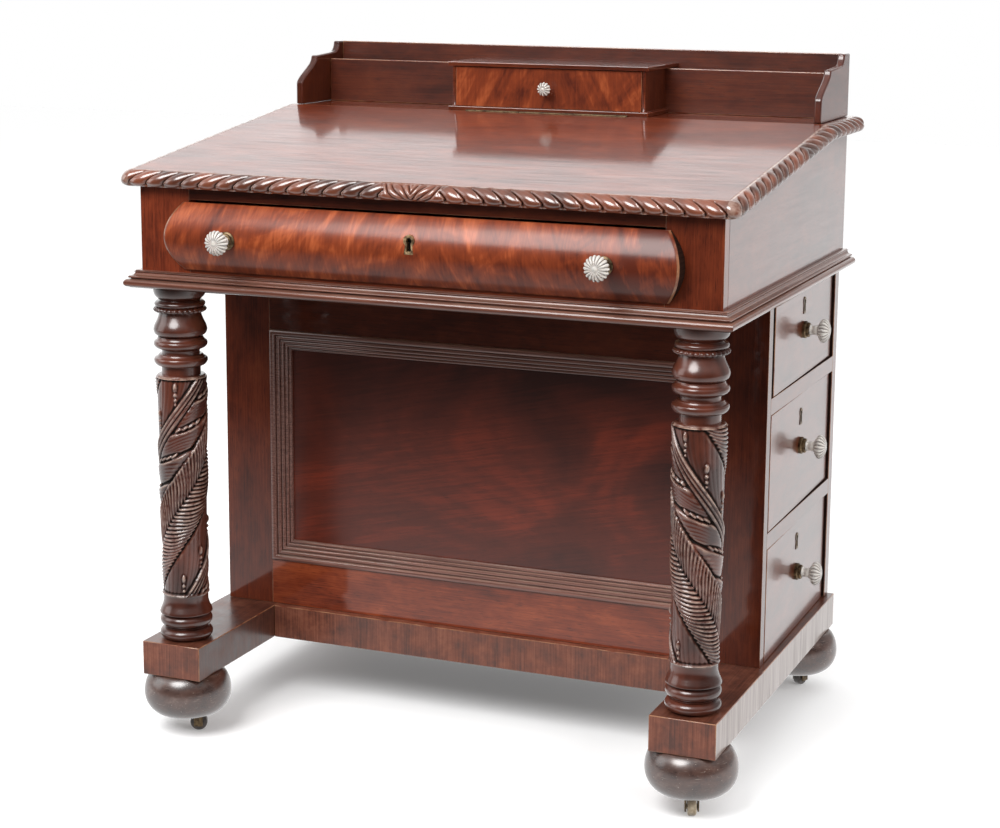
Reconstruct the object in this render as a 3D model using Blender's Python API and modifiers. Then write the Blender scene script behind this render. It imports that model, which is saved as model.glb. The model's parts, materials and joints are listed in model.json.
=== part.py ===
"""A davenport writing desk with a sloped lid, a letter gallery, a bolster frieze drawer,
two turned columns and a bank of side drawers, on bun feet with casters."""

from math import cos, pi, radians, sin, tan

import bmesh
import bpy
from mathutils import Matrix, Vector

# Clearances
GAP = 0.0003
DRAWER_CLEARANCE = 0.0008

# Casters and bun feet
WHEEL_RADIUS = 0.0115
WHEEL_WIDTH = 0.011
WHEEL_EDGE = 0.0025
AXLE_RADIUS = 0.003
AXLE_STUB = 0.0012
CASTER_TRAIL = 0.014
CASTER_HEADROOM = 0.0012
CASTER_PLATE = 0.0022
CASTER_PLATE_RADIUS = 0.017
FORK_CHEEK = 0.002
FORK_WIDTH = 0.012
FORK_BELOW_AXLE = 0.005
BUN_HEIGHT = 0.059
BUN_RADIUS = 0.058
BUN_WIDEST = 0.021
BUN_TOP_RADIUS = 0.047
BUN_BASE_RADIUS = 0.033
PALE_WHEEL = "front_right"
CASTER_TURNS = {"front_left": 22, "front_right": -68, "back_left": 150, "back_right": 70}

# Runners and the rail between them
RUNNER_WIDTH = 0.0855
RUNNER_HEIGHT = 0.046
RUNNER_PROJECTION = 0.0077
RUNNER_NOSE = 0.0093
RUNNER_TAIL = 0.0034
CROSS_RAIL_LEDGE = 0.0113

# Pedestal
KNEEHOLE_DEPTH = 0.2113
PEDESTAL_INSET = 0.001
PEDESTAL_SIDE = 0.016
PEDESTAL_BACK = 0.0198
FRAME_THICKNESS = 0.0171
FRAME_STILE = 0.0688
FRAME_LOW_RAIL = 0.063
FRAME_HIGH_RAIL = 0.0843
PANEL_MOULDING = 0.029
PANEL_THICKNESS = 0.005
MOULDING_BEAD = 0.008
MOULDING_LIP = 0.0024

# Side drawers
SIDE_DRAWER_WIDTH = 0.3205
LOW_DRAWER_HEIGHT = 0.152
MIDDLE_DRAWER_HEIGHT = 0.1535
TOP_DRAWER_HEIGHT = 0.116
DRAWER_RAIL = 0.0216
HEAD_RAIL = 0.0083
SIDE_DRAWER_DEPTH = 0.56
SIDE_FRONT_THICKNESS = 0.018
SIDE_BOX_INSET = 0.004
SIDE_BOX_DROP = 0.012
BOX_WALL = 0.009
BOX_FLOOR = 0.007
CARCASS_WALL = 0.012
CARCASS_FLOOR = 0.018

# Upper case
CASE_WIDTH = 0.7808
CASE_BEHIND = 0.0133
CASE_BOARD = 0.016
CASE_FRONT = 0.018
CASE_BACK = 0.012
CASE_FLOOR = 0.012
CASE_STILE = 0.072
TOP_RAIL = 0.0162
WELL_FLOOR = 0.008
FRIEZE_BEARING = 0.03
FRIEZE_GUIDE = 0.02

# Waist moulding
WAIST_PROJECTION = 0.0181
WAIST_BEAD_RADIUS = 0.0058
WAIST_FOOT = 0.001
WAIST_COVE = 0.0071
WAIST_FILLET = 0.005
WAIST_LIP = 0.0025
WAIST_REVEAL = 0.0043

# Frieze drawer
FRIEZE_FRONT_WIDTH = 0.687
FRIEZE_FRONT_HEIGHT = 0.0865
FRIEZE_SHADOW = 0.0027
FRIEZE_END_BOW = 0.018
FRIEZE_BULGE = 0.02
FRIEZE_EDGE = 0.0035
FRIEZE_BOX_DEPTH = 0.4
FRIEZE_BOX_DROP = 0.006

# Columns: heights and radii of the turned members, from the foot up
COLUMN_BASE_RING = 0.0202
COLUMN_BASE_RINGS = 3
COLUMN_RING_RADIUS = 0.035
COLUMN_SHAFT_LOW = 0.031
COLUMN_SHAFT_HIGH = 0.0348
COLUMN_COLLAR = 0.0035
COLUMN_COLLAR_RADIUS = 0.0309
COLUMN_NECK = 0.0155
COLUMN_NECK_RADIUS = 0.0247
COLUMN_RING = 0.0155
COLUMN_GROOVE = 0.0065
COLUMN_BULB = 0.0302
COLUMN_CAPITAL = 0.0157
COLUMN_STEP = 0.0018

# Top: hinged slope, fixed shelf and their carved edging
SLOPE = radians(7.1)
LID_THICKNESS = 0.0205
TOP_OVERHANG = 0.0062
TOP_BEHIND = 0.0094
SHELF_DEPTH = 0.1636
EDGING_WIDTH = 0.0173
EDGING_DROP = 0.0135
LID_JOINT = 0.0004
HINGE_LENGTH = 0.24
HINGE_BARREL = 0.002
HINGE_PIN = 0.0008
HINGE_LEAF = 0.0012
HINGE_LEAF_HEIGHT = 0.013

# Gallery
GALLERY_END = 0.0099
GALLERY_BACK = 0.0196
LETTER_SLOT = 0.0325
DIVIDER = 0.009
SCROLL_FOOT = 0.029
SCROLL_TONGUE = 0.0692
SCROLL_SWEEP = 0.0466
SCROLL_NOSE = 0.003
SCROLL_STEP = 0.0024
SCROLL_COVE = 0.015
SCROLL_FLAT = 0.031

# Gallery drawer
NEST_WIDTH = 0.298
NEST_HEIGHT = 0.0683
NEST_BOARD = 0.0058
NEST_LIP = 0.0055
NEST_FRONT_SETBACK = 0.0038
NEST_WALL = 0.0045
GALLERY_FRONT_THICKNESS = 0.01
GALLERY_BOX_WALL = 0.005
GALLERY_BOX_FLOOR = 0.004

# Knobs
KNOB_RADIUS = 0.0161
KNOB_HEAD = 0.0165
KNOB_NECK = 0.0105
KNOB_NECK_RADIUS = 0.007
FERRULE_RADIUS = 0.0115
FERRULE_LENGTH = 0.0065
FRIEZE_KNOB_SPACING = 0.503
SIDE_KNOB_RAISE = 0.005
SMALL_KNOB_RADIUS = 0.01
SMALL_KNOB_HEAD = 0.0115
SMALL_KNOB_NECK = 0.0075
SMALL_NECK_RADIUS = 0.005

# Heights above the floor, from the wheels up
PLATE_LOW = 2 * WHEEL_RADIUS + CASTER_HEADROOM
BUN_LOW = PLATE_LOW + CASTER_PLATE + GAP
RUNNER_LOW = BUN_LOW + BUN_HEIGHT + GAP
RUNNER_TOP = RUNNER_LOW + RUNNER_HEIGHT
DRAWER_HEIGHTS = {"low": LOW_DRAWER_HEIGHT, "middle": MIDDLE_DRAWER_HEIGHT, "top": TOP_DRAWER_HEIGHT}
PEDESTAL_HEIGHT = (
    sum(DRAWER_HEIGHTS.values())
    + 2 * DRAWER_CLEARANCE * len(DRAWER_HEIGHTS)
    + DRAWER_RAIL * (len(DRAWER_HEIGHTS) - 1)
    + HEAD_RAIL
)
CASE_LOW = RUNNER_TOP + PEDESTAL_HEIGHT
WAIST_HEIGHT = WAIST_FOOT + 2 * WAIST_BEAD_RADIUS + WAIST_COVE + WAIST_LIP
FRIEZE_LOW = CASE_LOW + WAIST_HEIGHT + WAIST_REVEAL
FRIEZE_FRONT_LOW = FRIEZE_LOW + DRAWER_CLEARANCE
FRIEZE_HIGH = FRIEZE_FRONT_LOW + FRIEZE_FRONT_HEIGHT + FRIEZE_SHADOW
CASE_FRONT_TOP = FRIEZE_HIGH + TOP_RAIL
WELL_TOP = FRIEZE_HIGH + WELL_FLOOR

# Depths from the case front, which is at zero, and half widths
PEDESTAL_FRONT = KNEEHOLE_DEPTH
FRAME_REAR = PEDESTAL_FRONT + FRAME_THICKNESS
PEDESTAL_BACK_FACE = FRAME_REAR + SIDE_DRAWER_WIDTH + 2 * DRAWER_CLEARANCE
PEDESTAL_REAR = PEDESTAL_BACK_FACE + PEDESTAL_BACK
CASE_REAR = PEDESTAL_REAR + CASE_BEHIND
TOP_REAR = CASE_REAR + TOP_BEHIND
BEND = TOP_REAR - SHELF_DEPTH
CASE_HALF = CASE_WIDTH / 2
PEDESTAL_HALF = CASE_HALF - PEDESTAL_INSET
RUNNER_OUTER = CASE_HALF + RUNNER_PROJECTION
RUNNER_INNER = RUNNER_OUTER - RUNNER_WIDTH
RUNNER_MIDDLE = (RUNNER_OUTER + RUNNER_INNER) / 2
RUNNER_FRONT = -RUNNER_NOSE
RUNNER_REAR = PEDESTAL_REAR + RUNNER_TAIL
FOOT_FRONT = RUNNER_FRONT + RUNNER_WIDTH / 2
FOOT_REAR = RUNNER_REAR - RUNNER_WIDTH / 2
TOP_HALF = CASE_HALF + TOP_OVERHANG

# The writing slope rises from the case front to the shelf
LID_DEPTH = LID_THICKNESS / cos(SLOPE)
SHELF_TOP = CASE_FRONT_TOP + GAP + LID_DEPTH + BEND * tan(SLOPE)
SHELF_LOW = SHELF_TOP - LID_DEPTH
LID_LENGTH = (BEND + TOP_OVERHANG) / cos(SLOPE)

# Gallery places
GALLERY_HEIGHT = SCROLL_TONGUE + SCROLL_STEP + SCROLL_COVE
GALLERY_FRONT = BEND + HINGE_BARREL + GAP
GALLERY_BACK_FACE = CASE_REAR - GALLERY_BACK
DIVIDER_REAR = GALLERY_BACK_FACE - LETTER_SLOT
DIVIDER_FRONT = DIVIDER_REAR - DIVIDER
NEST_HALF = NEST_WIDTH / 2
NEST_BODY_HALF = NEST_HALF - NEST_LIP
NEST_BODY_FRONT = GALLERY_FRONT + NEST_FRONT_SETBACK
NEST_LOW = SHELF_TOP + GAP
NEST_TOP_LOW = SHELF_TOP + NEST_HEIGHT - NEST_BOARD
NEST_FLOOR = NEST_LOW + NEST_BOARD

# Frieze drawer front and the knobs on it
FRIEZE_FRONT_MIDDLE = FRIEZE_FRONT_LOW + FRIEZE_FRONT_HEIGHT / 2
FRIEZE_FACE = -(DRAWER_CLEARANCE + FRIEZE_EDGE + FRIEZE_BULGE)
KNOB_LENGTH = GAP + FERRULE_LENGTH + GAP + KNOB_NECK + KNOB_HEAD

# The desk is set so that the middle of its bounding box is over the origin
REACH_RIGHT = PEDESTAL_HALF + KNOB_LENGTH
REACH_LEFT = TOP_HALF + EDGING_WIDTH
REACH_FRONT = FRIEZE_FACE - KNOB_LENGTH
DESK_PLACE = Vector(((REACH_LEFT - REACH_RIGHT) / 2, -(REACH_FRONT + TOP_REAR) / 2, 0))

# Counts of facets on round work, and the limits for smooth shading and for welding points
TURN_STEPS = 20
SMALL_TURN_STEPS = 16
ARC_STEPS = 8
BROW_STEPS = 6
RING_STEPS = 5
BEAD_STEPS = 4
COVE_STEPS = 3
EDGE_STEPS = 2
KNOB_UNDERSIDE = -60
SHARP_ANGLE = radians(40)
WELD = 0.000001

for old in list(bpy.data.objects):
    bpy.data.objects.remove(old, do_unlink=True)

PARTS = bpy.data.collections.new("davenport_desk")
CUTTERS = bpy.data.collections.new("cutters")
bpy.context.scene.collection.children.link(PARTS)
bpy.context.scene.collection.children.link(CUTTERS)


def finish(name, colour, roughness, metallic=0.0):
    """A plain material of one colour."""
    material = bpy.data.materials.new(name)
    material.use_nodes = True
    shader = material.node_tree.nodes["Principled BSDF"]
    shader.inputs["Base Color"].default_value = (*colour, 1)
    shader.inputs["Roughness"].default_value = roughness
    shader.inputs["Metallic"].default_value = metallic
    return material


MAHOGANY = finish("mahogany", (0.13, 0.035, 0.018), 0.25)
FLAME = finish("flame_veneer", (0.25, 0.06, 0.02), 0.2)
CARVED = finish("carved_mahogany", (0.09, 0.03, 0.017), 0.35)
EBONISED = finish("dark_turned_wood", (0.06, 0.028, 0.018), 0.4)
LINING = finish("drawer_lining", (0.4, 0.24, 0.12), 0.6)
BRASS = finish("aged_brass", (0.35, 0.24, 0.1), 0.4, 1.0)
GLASS = finish("pressed_glass", (0.85, 0.87, 0.85), 0.08)
BONE = finish("bone_wheel", (0.6, 0.52, 0.42), 0.5)


def axis_empty(name, place, turn=(0, 0, 0), parent=None):
    """An empty that carries the pieces of one moving body."""
    empty = bpy.data.objects.new(name, None)
    empty.location = place
    empty.rotation_euler = turn
    empty.parent = parent
    PARTS.objects.link(empty)
    return empty


DESK = axis_empty("desk_origin", DESK_PLACE)


def settle(obj, name, material, parent):
    """Name a new object, give it its material and its parent, and put it with the parts."""
    for collection in list(obj.users_collection):
        collection.objects.unlink(obj)
    obj.name = name
    obj.data.name = name
    obj.data.materials.clear()
    obj.data.materials.append(material)
    obj.parent = parent
    PARTS.objects.link(obj)
    return obj


def box(name, xs, ys, zs, material, parent=DESK):
    """A board between three pairs of limits."""
    bpy.ops.mesh.primitive_cube_add(size=1)
    obj = bpy.context.object
    lows, highs = (Vector(side) for side in zip(xs, ys, zs))
    obj.data.transform(Matrix.Diagonal((*(highs - lows), 1)))
    obj.location = (lows + highs) / 2
    return settle(obj, name, material, parent)


def cylinder(name, radius, depth, place, turn, material, parent=DESK):
    """A plain round bar centred on its place."""
    bpy.ops.mesh.primitive_cylinder_add(vertices=TURN_STEPS, radius=radius, depth=depth)
    obj = bpy.context.object
    obj.location = place
    obj.rotation_euler = turn
    obj.data.shade_smooth()
    obj.data.set_sharp_from_angle(angle=SHARP_ANGLE)
    return settle(obj, name, material, parent)


OUTLINE_TURNS = {"xz": (pi / 2, 0, 0), "yz": (pi / 2, 0, pi / 2)}


def outline(name, plane, rings, low, high, material, parent=DESK):
    """A board cut to an outline in the xz or yz plane; rings after the first are holes."""
    curve = bpy.data.curves.new(name, "CURVE")
    curve.dimensions = "2D"
    curve.fill_mode = "BOTH"
    curve.extrude = (high - low) / 2
    for ring in rings:
        spline = curve.splines.new("POLY")
        spline.points.add(len(ring) - 1)
        for point, (u, v) in zip(spline.points, ring):
            point.co = (u, v, 0, 1)
        spline.use_cyclic_u = True
    drawn = bpy.data.objects.new(name, curve)
    PARTS.objects.link(drawn)
    bpy.context.view_layer.update()
    mesh = bpy.data.meshes.new_from_object(drawn.evaluated_get(bpy.context.evaluated_depsgraph_get()))
    bpy.data.objects.remove(drawn)
    bpy.data.curves.remove(curve)
    welded = bmesh.new()
    welded.from_mesh(mesh)
    bmesh.ops.remove_doubles(welded, verts=welded.verts, dist=WELD)
    bmesh.ops.recalc_face_normals(welded, faces=welded.faces)
    welded.to_mesh(mesh)
    welded.free()
    obj = bpy.data.objects.new(name, mesh)
    middle = (low + high) / 2
    obj.location = (0, middle, 0) if plane == "xz" else (middle, 0, 0)
    obj.rotation_euler = OUTLINE_TURNS[plane]
    return settle(obj, name, material, parent)


def turned(name, profile, place, turn, material, parent=DESK, steps=TURN_STEPS):
    """A lathe piece: the profile of (radius, height) points, top to bottom, spun about its axis."""
    mesh = bpy.data.meshes.new(name)
    edges = [(n, n + 1) for n in range(len(profile) - 1)]
    mesh.from_pydata([(radius, 0, height) for radius, height in profile], edges, [])
    obj = bpy.data.objects.new(name, mesh)
    spin = obj.modifiers.new("turning", "SCREW")
    spin.steps = steps
    spin.render_steps = steps
    spin.use_merge_vertices = True
    spin.merge_threshold = WELD
    obj.location = place
    obj.rotation_euler = turn
    return settle(obj, name, material, parent)


def mitred(name, section, path, closed, lift, material, parent=DESK, end_lean=0.0):
    """A moulding: a section of (out, up) points carried along a path with mitred corners.

    Out is to the right of the way the path runs, and lift sets a point (x, y, up) in place.
    With end_lean, the two open ends lean along the path with height.
    """
    count = len(path)
    places = []
    for n, here in enumerate(path):
        here = Vector(here)
        before = Vector(path[n - 1]) if closed or n > 0 else None
        after = Vector(path[(n + 1) % count]) if closed or n < count - 1 else None
        ways = []
        if before is not None:
            ways.append((here - before).normalized())
        if after is not None:
            ways.append((after - here).normalized())
        sides = [Vector((way.y, -way.x)) for way in ways]
        out = sum(sides, Vector((0, 0)))
        out /= 1 + sides[0].dot(sides[-1]) if len(sides) == 2 else 1
        lean = 0.0 if len(sides) == 2 else end_lean
        places.append([lift(*(here + out * o + Vector((0, lean * u))), u) for o, u in section])
    shape = bmesh.new()
    rows = [[shape.verts.new(point) for point in row] for row in places]
    points = len(section)
    for n in range(count if closed else count - 1):
        row, following = rows[n], rows[(n + 1) % count]
        for k in range(points):
            m = (k + 1) % points
            shape.faces.new((row[k], row[m], following[m], following[k]))
    if not closed:
        shape.faces.new(rows[0])
        shape.faces.new(rows[-1])
    bmesh.ops.recalc_face_normals(shape, faces=shape.faces)
    mesh = bpy.data.meshes.new(name)
    shape.to_mesh(mesh)
    shape.free()
    return settle(bpy.data.objects.new(name, mesh), name, material, parent)


def combine(target, tool, operation):
    """Join, cut or intersect the target with a tool piece, which is then only a cutter."""
    PARTS.objects.unlink(tool)
    CUTTERS.objects.link(tool)
    tool.hide_render = True
    tool.display_type = "WIRE"
    step = target.modifiers.new(operation.lower(), "BOOLEAN")
    step.operation = operation
    step.object = tool
    return target


def tray(name, xs, ys, zs, walls, floor, material, parent):
    """An open drawer box; walls are the thicknesses at low x, high x, low y and high y."""
    body = box(name, xs, ys, zs, material, parent)
    low_x, high_x, low_y, high_y = walls
    hollow = box(
        name + "_hollow",
        (xs[0] + low_x, xs[1] - high_x),
        (ys[0] + low_y, ys[1] - high_y),
        (zs[0] + floor, zs[1] + floor),
        material,
        parent,
    )
    return combine(body, hollow, "DIFFERENCE")


def arc(centre_u, centre_v, radius_u, radius_v, start, end, steps):
    """Points along part of an ellipse, angles in degrees."""
    angles = [radians(start + (end - start) * n / steps) for n in range(steps + 1)]
    return [(centre_u + radius_u * cos(a), centre_v + radius_v * sin(a)) for a in angles]


def swell(radius, bulge, high, low, steps=RING_STEPS):
    """Half-round turned bead, from its top to its bottom, standing out from a radius."""
    middle = (high + low) / 2
    return arc(radius, middle, bulge, (high - low) / 2, 90, -90, steps)


def make_feet():
    """Bun feet and their casters, one set at each end of each runner."""
    across = {"left": -RUNNER_MIDDLE, "right": RUNNER_MIDDLE}
    along = {"front": FOOT_FRONT, "back": FOOT_REAR}
    bun = [(0, BUN_HEIGHT)]
    shoulder = BUN_RADIUS - BUN_TOP_RADIUS
    bun += arc(BUN_TOP_RADIUS, BUN_WIDEST, shoulder, BUN_HEIGHT - BUN_WIDEST, 90, 0, RING_STEPS)
    belly = BUN_RADIUS - BUN_BASE_RADIUS
    bun += arc(BUN_BASE_RADIUS, BUN_WIDEST, belly, BUN_WIDEST, 0, -90, RING_STEPS)[1:]
    bun += [(0, 0)]
    for corner, degrees in CASTER_TURNS.items():
        end, side = corner.split("_")
        place = (across[side], along[end], BUN_LOW)
        turned("bun_foot_" + corner, bun, place, (0, 0, 0), EBONISED)
        swivel = axis_empty("caster_axis_" + corner, place, (0, 0, radians(degrees)), DESK)
        make_caster(corner, swivel)


def make_caster(corner, swivel):
    """A fork that turns under its foot, and a wheel that trails behind it."""
    plate_top = -GAP
    plate_low = plate_top - CASTER_PLATE
    axle_height = WHEEL_RADIUS - BUN_LOW
    inside = WHEEL_WIDTH / 2 + AXLE_STUB + GAP
    outside = inside + FORK_CHEEK
    low = axle_height - FORK_BELOW_AXLE
    arch = [
        (-outside, low),
        (-outside, plate_top),
        (outside, plate_top),
        (outside, low),
        (inside, low),
        (inside, plate_low),
        (-inside, plate_low),
        (-inside, low),
    ]
    reach = CASTER_TRAIL + FORK_WIDTH / 2
    fork = outline(
        "caster_fork_" + corner, "yz", [arch], CASTER_TRAIL - FORK_WIDTH / 2, reach, BRASS, swivel
    )
    disc = cylinder(
        "caster_plate_" + corner,
        CASTER_PLATE_RADIUS,
        CASTER_PLATE,
        (0, 0, (plate_top + plate_low) / 2),
        (0, 0, 0),
        BRASS,
        swivel,
    )
    combine(fork, disc, "UNION")
    axle = axis_empty("wheel_axis_" + corner, (CASTER_TRAIL, 0, axle_height), (-pi / 2, 0, 0), swivel)
    half = WHEEL_WIDTH / 2
    stub = half + AXLE_STUB
    wheel = [(0, stub), (AXLE_RADIUS, stub), (AXLE_RADIUS, half)]
    wheel += arc(WHEEL_RADIUS - WHEEL_EDGE, half - WHEEL_EDGE, WHEEL_EDGE, WHEEL_EDGE, 90, 0, EDGE_STEPS)
    wheel += arc(WHEEL_RADIUS - WHEEL_EDGE, WHEEL_EDGE - half, WHEEL_EDGE, WHEEL_EDGE, 0, -90, EDGE_STEPS)
    wheel += [(AXLE_RADIUS, -half), (AXLE_RADIUS, -stub), (0, -stub)]
    wood = BONE if corner == PALE_WHEEL else EBONISED
    turned("caster_wheel_" + corner, wheel, (0, 0, 0), (0, 0, 0), wood, axle, SMALL_TURN_STEPS)


def make_base():
    """Two runners and the rail in front of the kneehole panel."""
    long = (RUNNER_FRONT, RUNNER_REAR)
    high = (RUNNER_LOW, RUNNER_TOP)
    box("runner_left", (-RUNNER_OUTER, -RUNNER_INNER), long, high, MAHOGANY)
    box("runner_right", (RUNNER_INNER, RUNNER_OUTER), long, high, MAHOGANY)
    reach = RUNNER_INNER - GAP
    deep = (PEDESTAL_FRONT - CROSS_RAIL_LEDGE, FRAME_REAR)
    box("cross_rail", (-reach, reach), deep, high, MAHOGANY)


def column_profile():
    """The turned column from its capital down, with a plain tapered shaft where the carving is."""
    height = PEDESTAL_HEIGHT - 2 * GAP
    ring_core = COLUMN_RING_RADIUS - COLUMN_RING / 2
    top = height
    points = [(0, top), (COLUMN_RING_RADIUS, top), (COLUMN_RING_RADIUS, top - COLUMN_CAPITAL / 2)]
    top -= COLUMN_CAPITAL
    points += swell(ring_core, COLUMN_RING / 2, top, top - COLUMN_RING)
    top -= COLUMN_RING + COLUMN_STEP
    points += swell(COLUMN_NECK_RADIUS, COLUMN_RING_RADIUS - COLUMN_NECK_RADIUS, top, top - COLUMN_BULB)
    top -= COLUMN_BULB + COLUMN_STEP
    points += swell(ring_core, COLUMN_RING / 2, top, top - COLUMN_RING)
    top -= COLUMN_RING
    points += [(COLUMN_NECK_RADIUS, top), (COLUMN_NECK_RADIUS, top - COLUMN_GROOVE)]
    top -= COLUMN_GROOVE
    points += swell(ring_core, COLUMN_RING / 2, top, top - COLUMN_RING)
    top -= COLUMN_RING
    points += [(COLUMN_NECK_RADIUS, top), (COLUMN_NECK_RADIUS, top - COLUMN_NECK)]
    top -= COLUMN_NECK
    points += [(COLUMN_COLLAR_RADIUS, top), (COLUMN_COLLAR_RADIUS, top - COLUMN_COLLAR)]
    top -= COLUMN_COLLAR
    foot = COLUMN_BASE_RINGS * COLUMN_BASE_RING + COLUMN_STEP
    points += [(COLUMN_SHAFT_HIGH, top), (COLUMN_SHAFT_LOW, foot)]
    base_core = COLUMN_RING_RADIUS - COLUMN_BASE_RING / 2
    for ring in reversed(range(COLUMN_BASE_RINGS)):
        low = ring * COLUMN_BASE_RING
        points += swell(base_core, COLUMN_BASE_RING / 2, low + COLUMN_BASE_RING, low)
    return points + [(0, 0)]


def without_repeats(points):
    """The same points, with each that repeats the one before it left out."""
    kept = points[:1]
    for point in points[1:]:
        if (Vector(point) - Vector(kept[-1])).length > WELD:
            kept.append(point)
    return kept


def make_columns():
    """One turned column over each front foot, under the case."""
    profile = without_repeats(column_profile())
    for side, x in (("left", -RUNNER_MIDDLE), ("right", RUNNER_MIDDLE)):
        turned("column_" + side, profile, (x, FOOT_FRONT, RUNNER_TOP + GAP), (0, 0, 0), CARVED)


def make_pedestal():
    """The recessed pedestal: framed kneehole panel, left side, back and the shelves of the drawers."""
    low = RUNNER_TOP + GAP
    high = CASE_LOW - GAP
    half = PEDESTAL_HALF
    inner = half - FRAME_STILE
    floor = low + FRAME_LOW_RAIL
    roof = high - FRAME_HIGH_RAIL
    frame = [
        [(-half, low), (half, low), (half, high), (-half, high)],
        [(-inner, floor), (inner, floor), (inner, roof), (-inner, roof)],
    ]
    outline("kneehole_frame", "xz", frame, PEDESTAL_FRONT, FRAME_REAR, MAHOGANY)
    reach = inner - GAP
    panel_front = FRAME_REAR - PANEL_THICKNESS
    sides = (-reach, reach)
    ends = (floor + GAP, roof - GAP)
    box("kneehole_panel", sides, (panel_front, FRAME_REAR), ends, FLAME)
    make_panel_moulding(reach, ends, panel_front - GAP)
    between = (FRAME_REAR + GAP, PEDESTAL_BACK_FACE - GAP)
    box("pedestal_side_left", (-half, PEDESTAL_SIDE - half), between, (low, high), MAHOGANY)
    box("pedestal_back", (-half, half), (PEDESTAL_BACK_FACE, PEDESTAL_REAR), (low, high), MAHOGANY)
    make_carcass(between, high)


def make_panel_moulding(reach, ends, rear):
    """The stepped moulding inside the frame, with a bead at its outer edge and a cove to the panel."""
    low, high = ends
    path = [(-reach, low), (-reach, high), (reach, high), (reach, low)]
    drop = rear - PEDESTAL_FRONT
    bead = MOULDING_BEAD / 2
    section = [(0, 0)] + arc(bead, 0, bead, bead, 180, 0, BEAD_STEPS)[1:]
    wide = PANEL_MOULDING - MOULDING_BEAD
    section += arc(PANEL_MOULDING, 0, wide, drop - MOULDING_LIP, 180, 270, RING_STEPS)
    section += [(PANEL_MOULDING, -drop), (0, -drop)]
    mitred(
        "panel_moulding",
        without_repeats(section),
        path,
        True,
        lambda x, z, up: (x, PEDESTAL_FRONT - up, z),
        MAHOGANY,
    )


def drawer_floors():
    """The height of the floor under each side drawer."""
    floors = {}
    level = RUNNER_TOP
    for name, height in DRAWER_HEIGHTS.items():
        floors[name] = level
        level += height + 2 * DRAWER_CLEARANCE + DRAWER_RAIL
    return floors


def make_carcass(between, high):
    """Floor, dust boards, head rail and inner wall round the side drawers, as one comb."""
    right = PEDESTAL_HALF
    head = CASE_LOW - HEAD_RAIL
    inner = right - SIDE_DRAWER_DEPTH - DRAWER_CLEARANCE
    wall = inner - CARCASS_WALL
    reach = RUNNER_INNER - GAP
    under = RUNNER_TOP - CARCASS_FLOOR
    comb = [(-reach, under), (reach, under), (reach, RUNNER_TOP), (inner, RUNNER_TOP)]
    for level in list(drawer_floors().values())[1:]:
        comb += [(inner, level - DRAWER_RAIL), (right, level - DRAWER_RAIL), (right, level), (inner, level)]
    comb += [(inner, head), (right, head), (right, high)]
    comb += [(wall, high), (wall, RUNNER_TOP), (-reach, RUNNER_TOP)]
    outline("drawer_carcass", "xz", [comb], *between, MAHOGANY)


def make_side_drawers():
    """Three drawers that open to the right, each a front, a box, a ferrule and a glass knob."""
    face = PEDESTAL_HALF
    wide = (FRAME_REAR + DRAWER_CLEARANCE, FRAME_REAR + DRAWER_CLEARANCE + SIDE_DRAWER_WIDTH)
    behind = face - SIDE_FRONT_THICKNESS
    for name, floor in drawer_floors().items():
        height = DRAWER_HEIGHTS[name]
        low = floor + DRAWER_CLEARANCE
        middle = ((wide[0] + wide[1]) / 2, low + height / 2 + SIDE_KNOB_RAISE)
        slide = axis_empty("drawer_axis_" + name, (face, *middle), parent=DESK)
        place = Vector(slide.location)
        front = (behind - place.x, face - place.x)
        across = (wide[0] - place.y, wide[1] - place.y)
        tall = (low - place.z, low + height - place.z)
        box("side_drawer_front_" + name, front, across, tall, MAHOGANY, slide)
        tray(
            "side_drawer_box_" + name,
            (-SIDE_DRAWER_DEPTH, front[0] - GAP),
            (across[0] + SIDE_BOX_INSET, across[1] - SIDE_BOX_INSET),
            (floor + GAP - place.z, tall[1] - SIDE_BOX_DROP),
            (BOX_WALL, BOX_WALL, BOX_WALL, BOX_WALL),
            BOX_FLOOR,
            LINING,
            slide,
        )
        make_knob("side_" + name, (0, 0, 0), (0, pi / 2, 0), slide)


def make_knob(name, place, turn, parent):
    """A brass ferrule and a fluted glass head, both standing on a drawer front."""
    ferrule = [(0, FERRULE_LENGTH), (KNOB_NECK_RADIUS, FERRULE_LENGTH)]
    ferrule += [(FERRULE_RADIUS, FERRULE_LENGTH / 2), (FERRULE_RADIUS, 0), (0, 0)]
    seat = Matrix.Translation(place) @ Matrix.Rotation(turn[0], 4, "X") @ Matrix.Rotation(turn[1], 4, "Y")
    foot = seat @ Vector((0, 0, GAP))
    turned("ferrule_" + name, ferrule, foot, turn, BRASS, parent, SMALL_TURN_STEPS)
    start = seat @ Vector((0, 0, FERRULE_LENGTH + 2 * GAP))
    glass = knob_profile(KNOB_RADIUS, KNOB_HEAD, KNOB_NECK, KNOB_NECK_RADIUS)
    turned("knob_" + name, glass, start, turn, GLASS, parent)


def knob_profile(radius, head, neck, neck_radius):
    """A flattened ball on a short neck."""
    middle = neck + head / 2
    points = arc(0, middle, radius, head / 2, 90, KNOB_UNDERSIDE, ARC_STEPS)
    points[0] = (0, points[0][1])
    return points + [(neck_radius, neck), (neck_radius, 0), (0, 0)]


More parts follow.
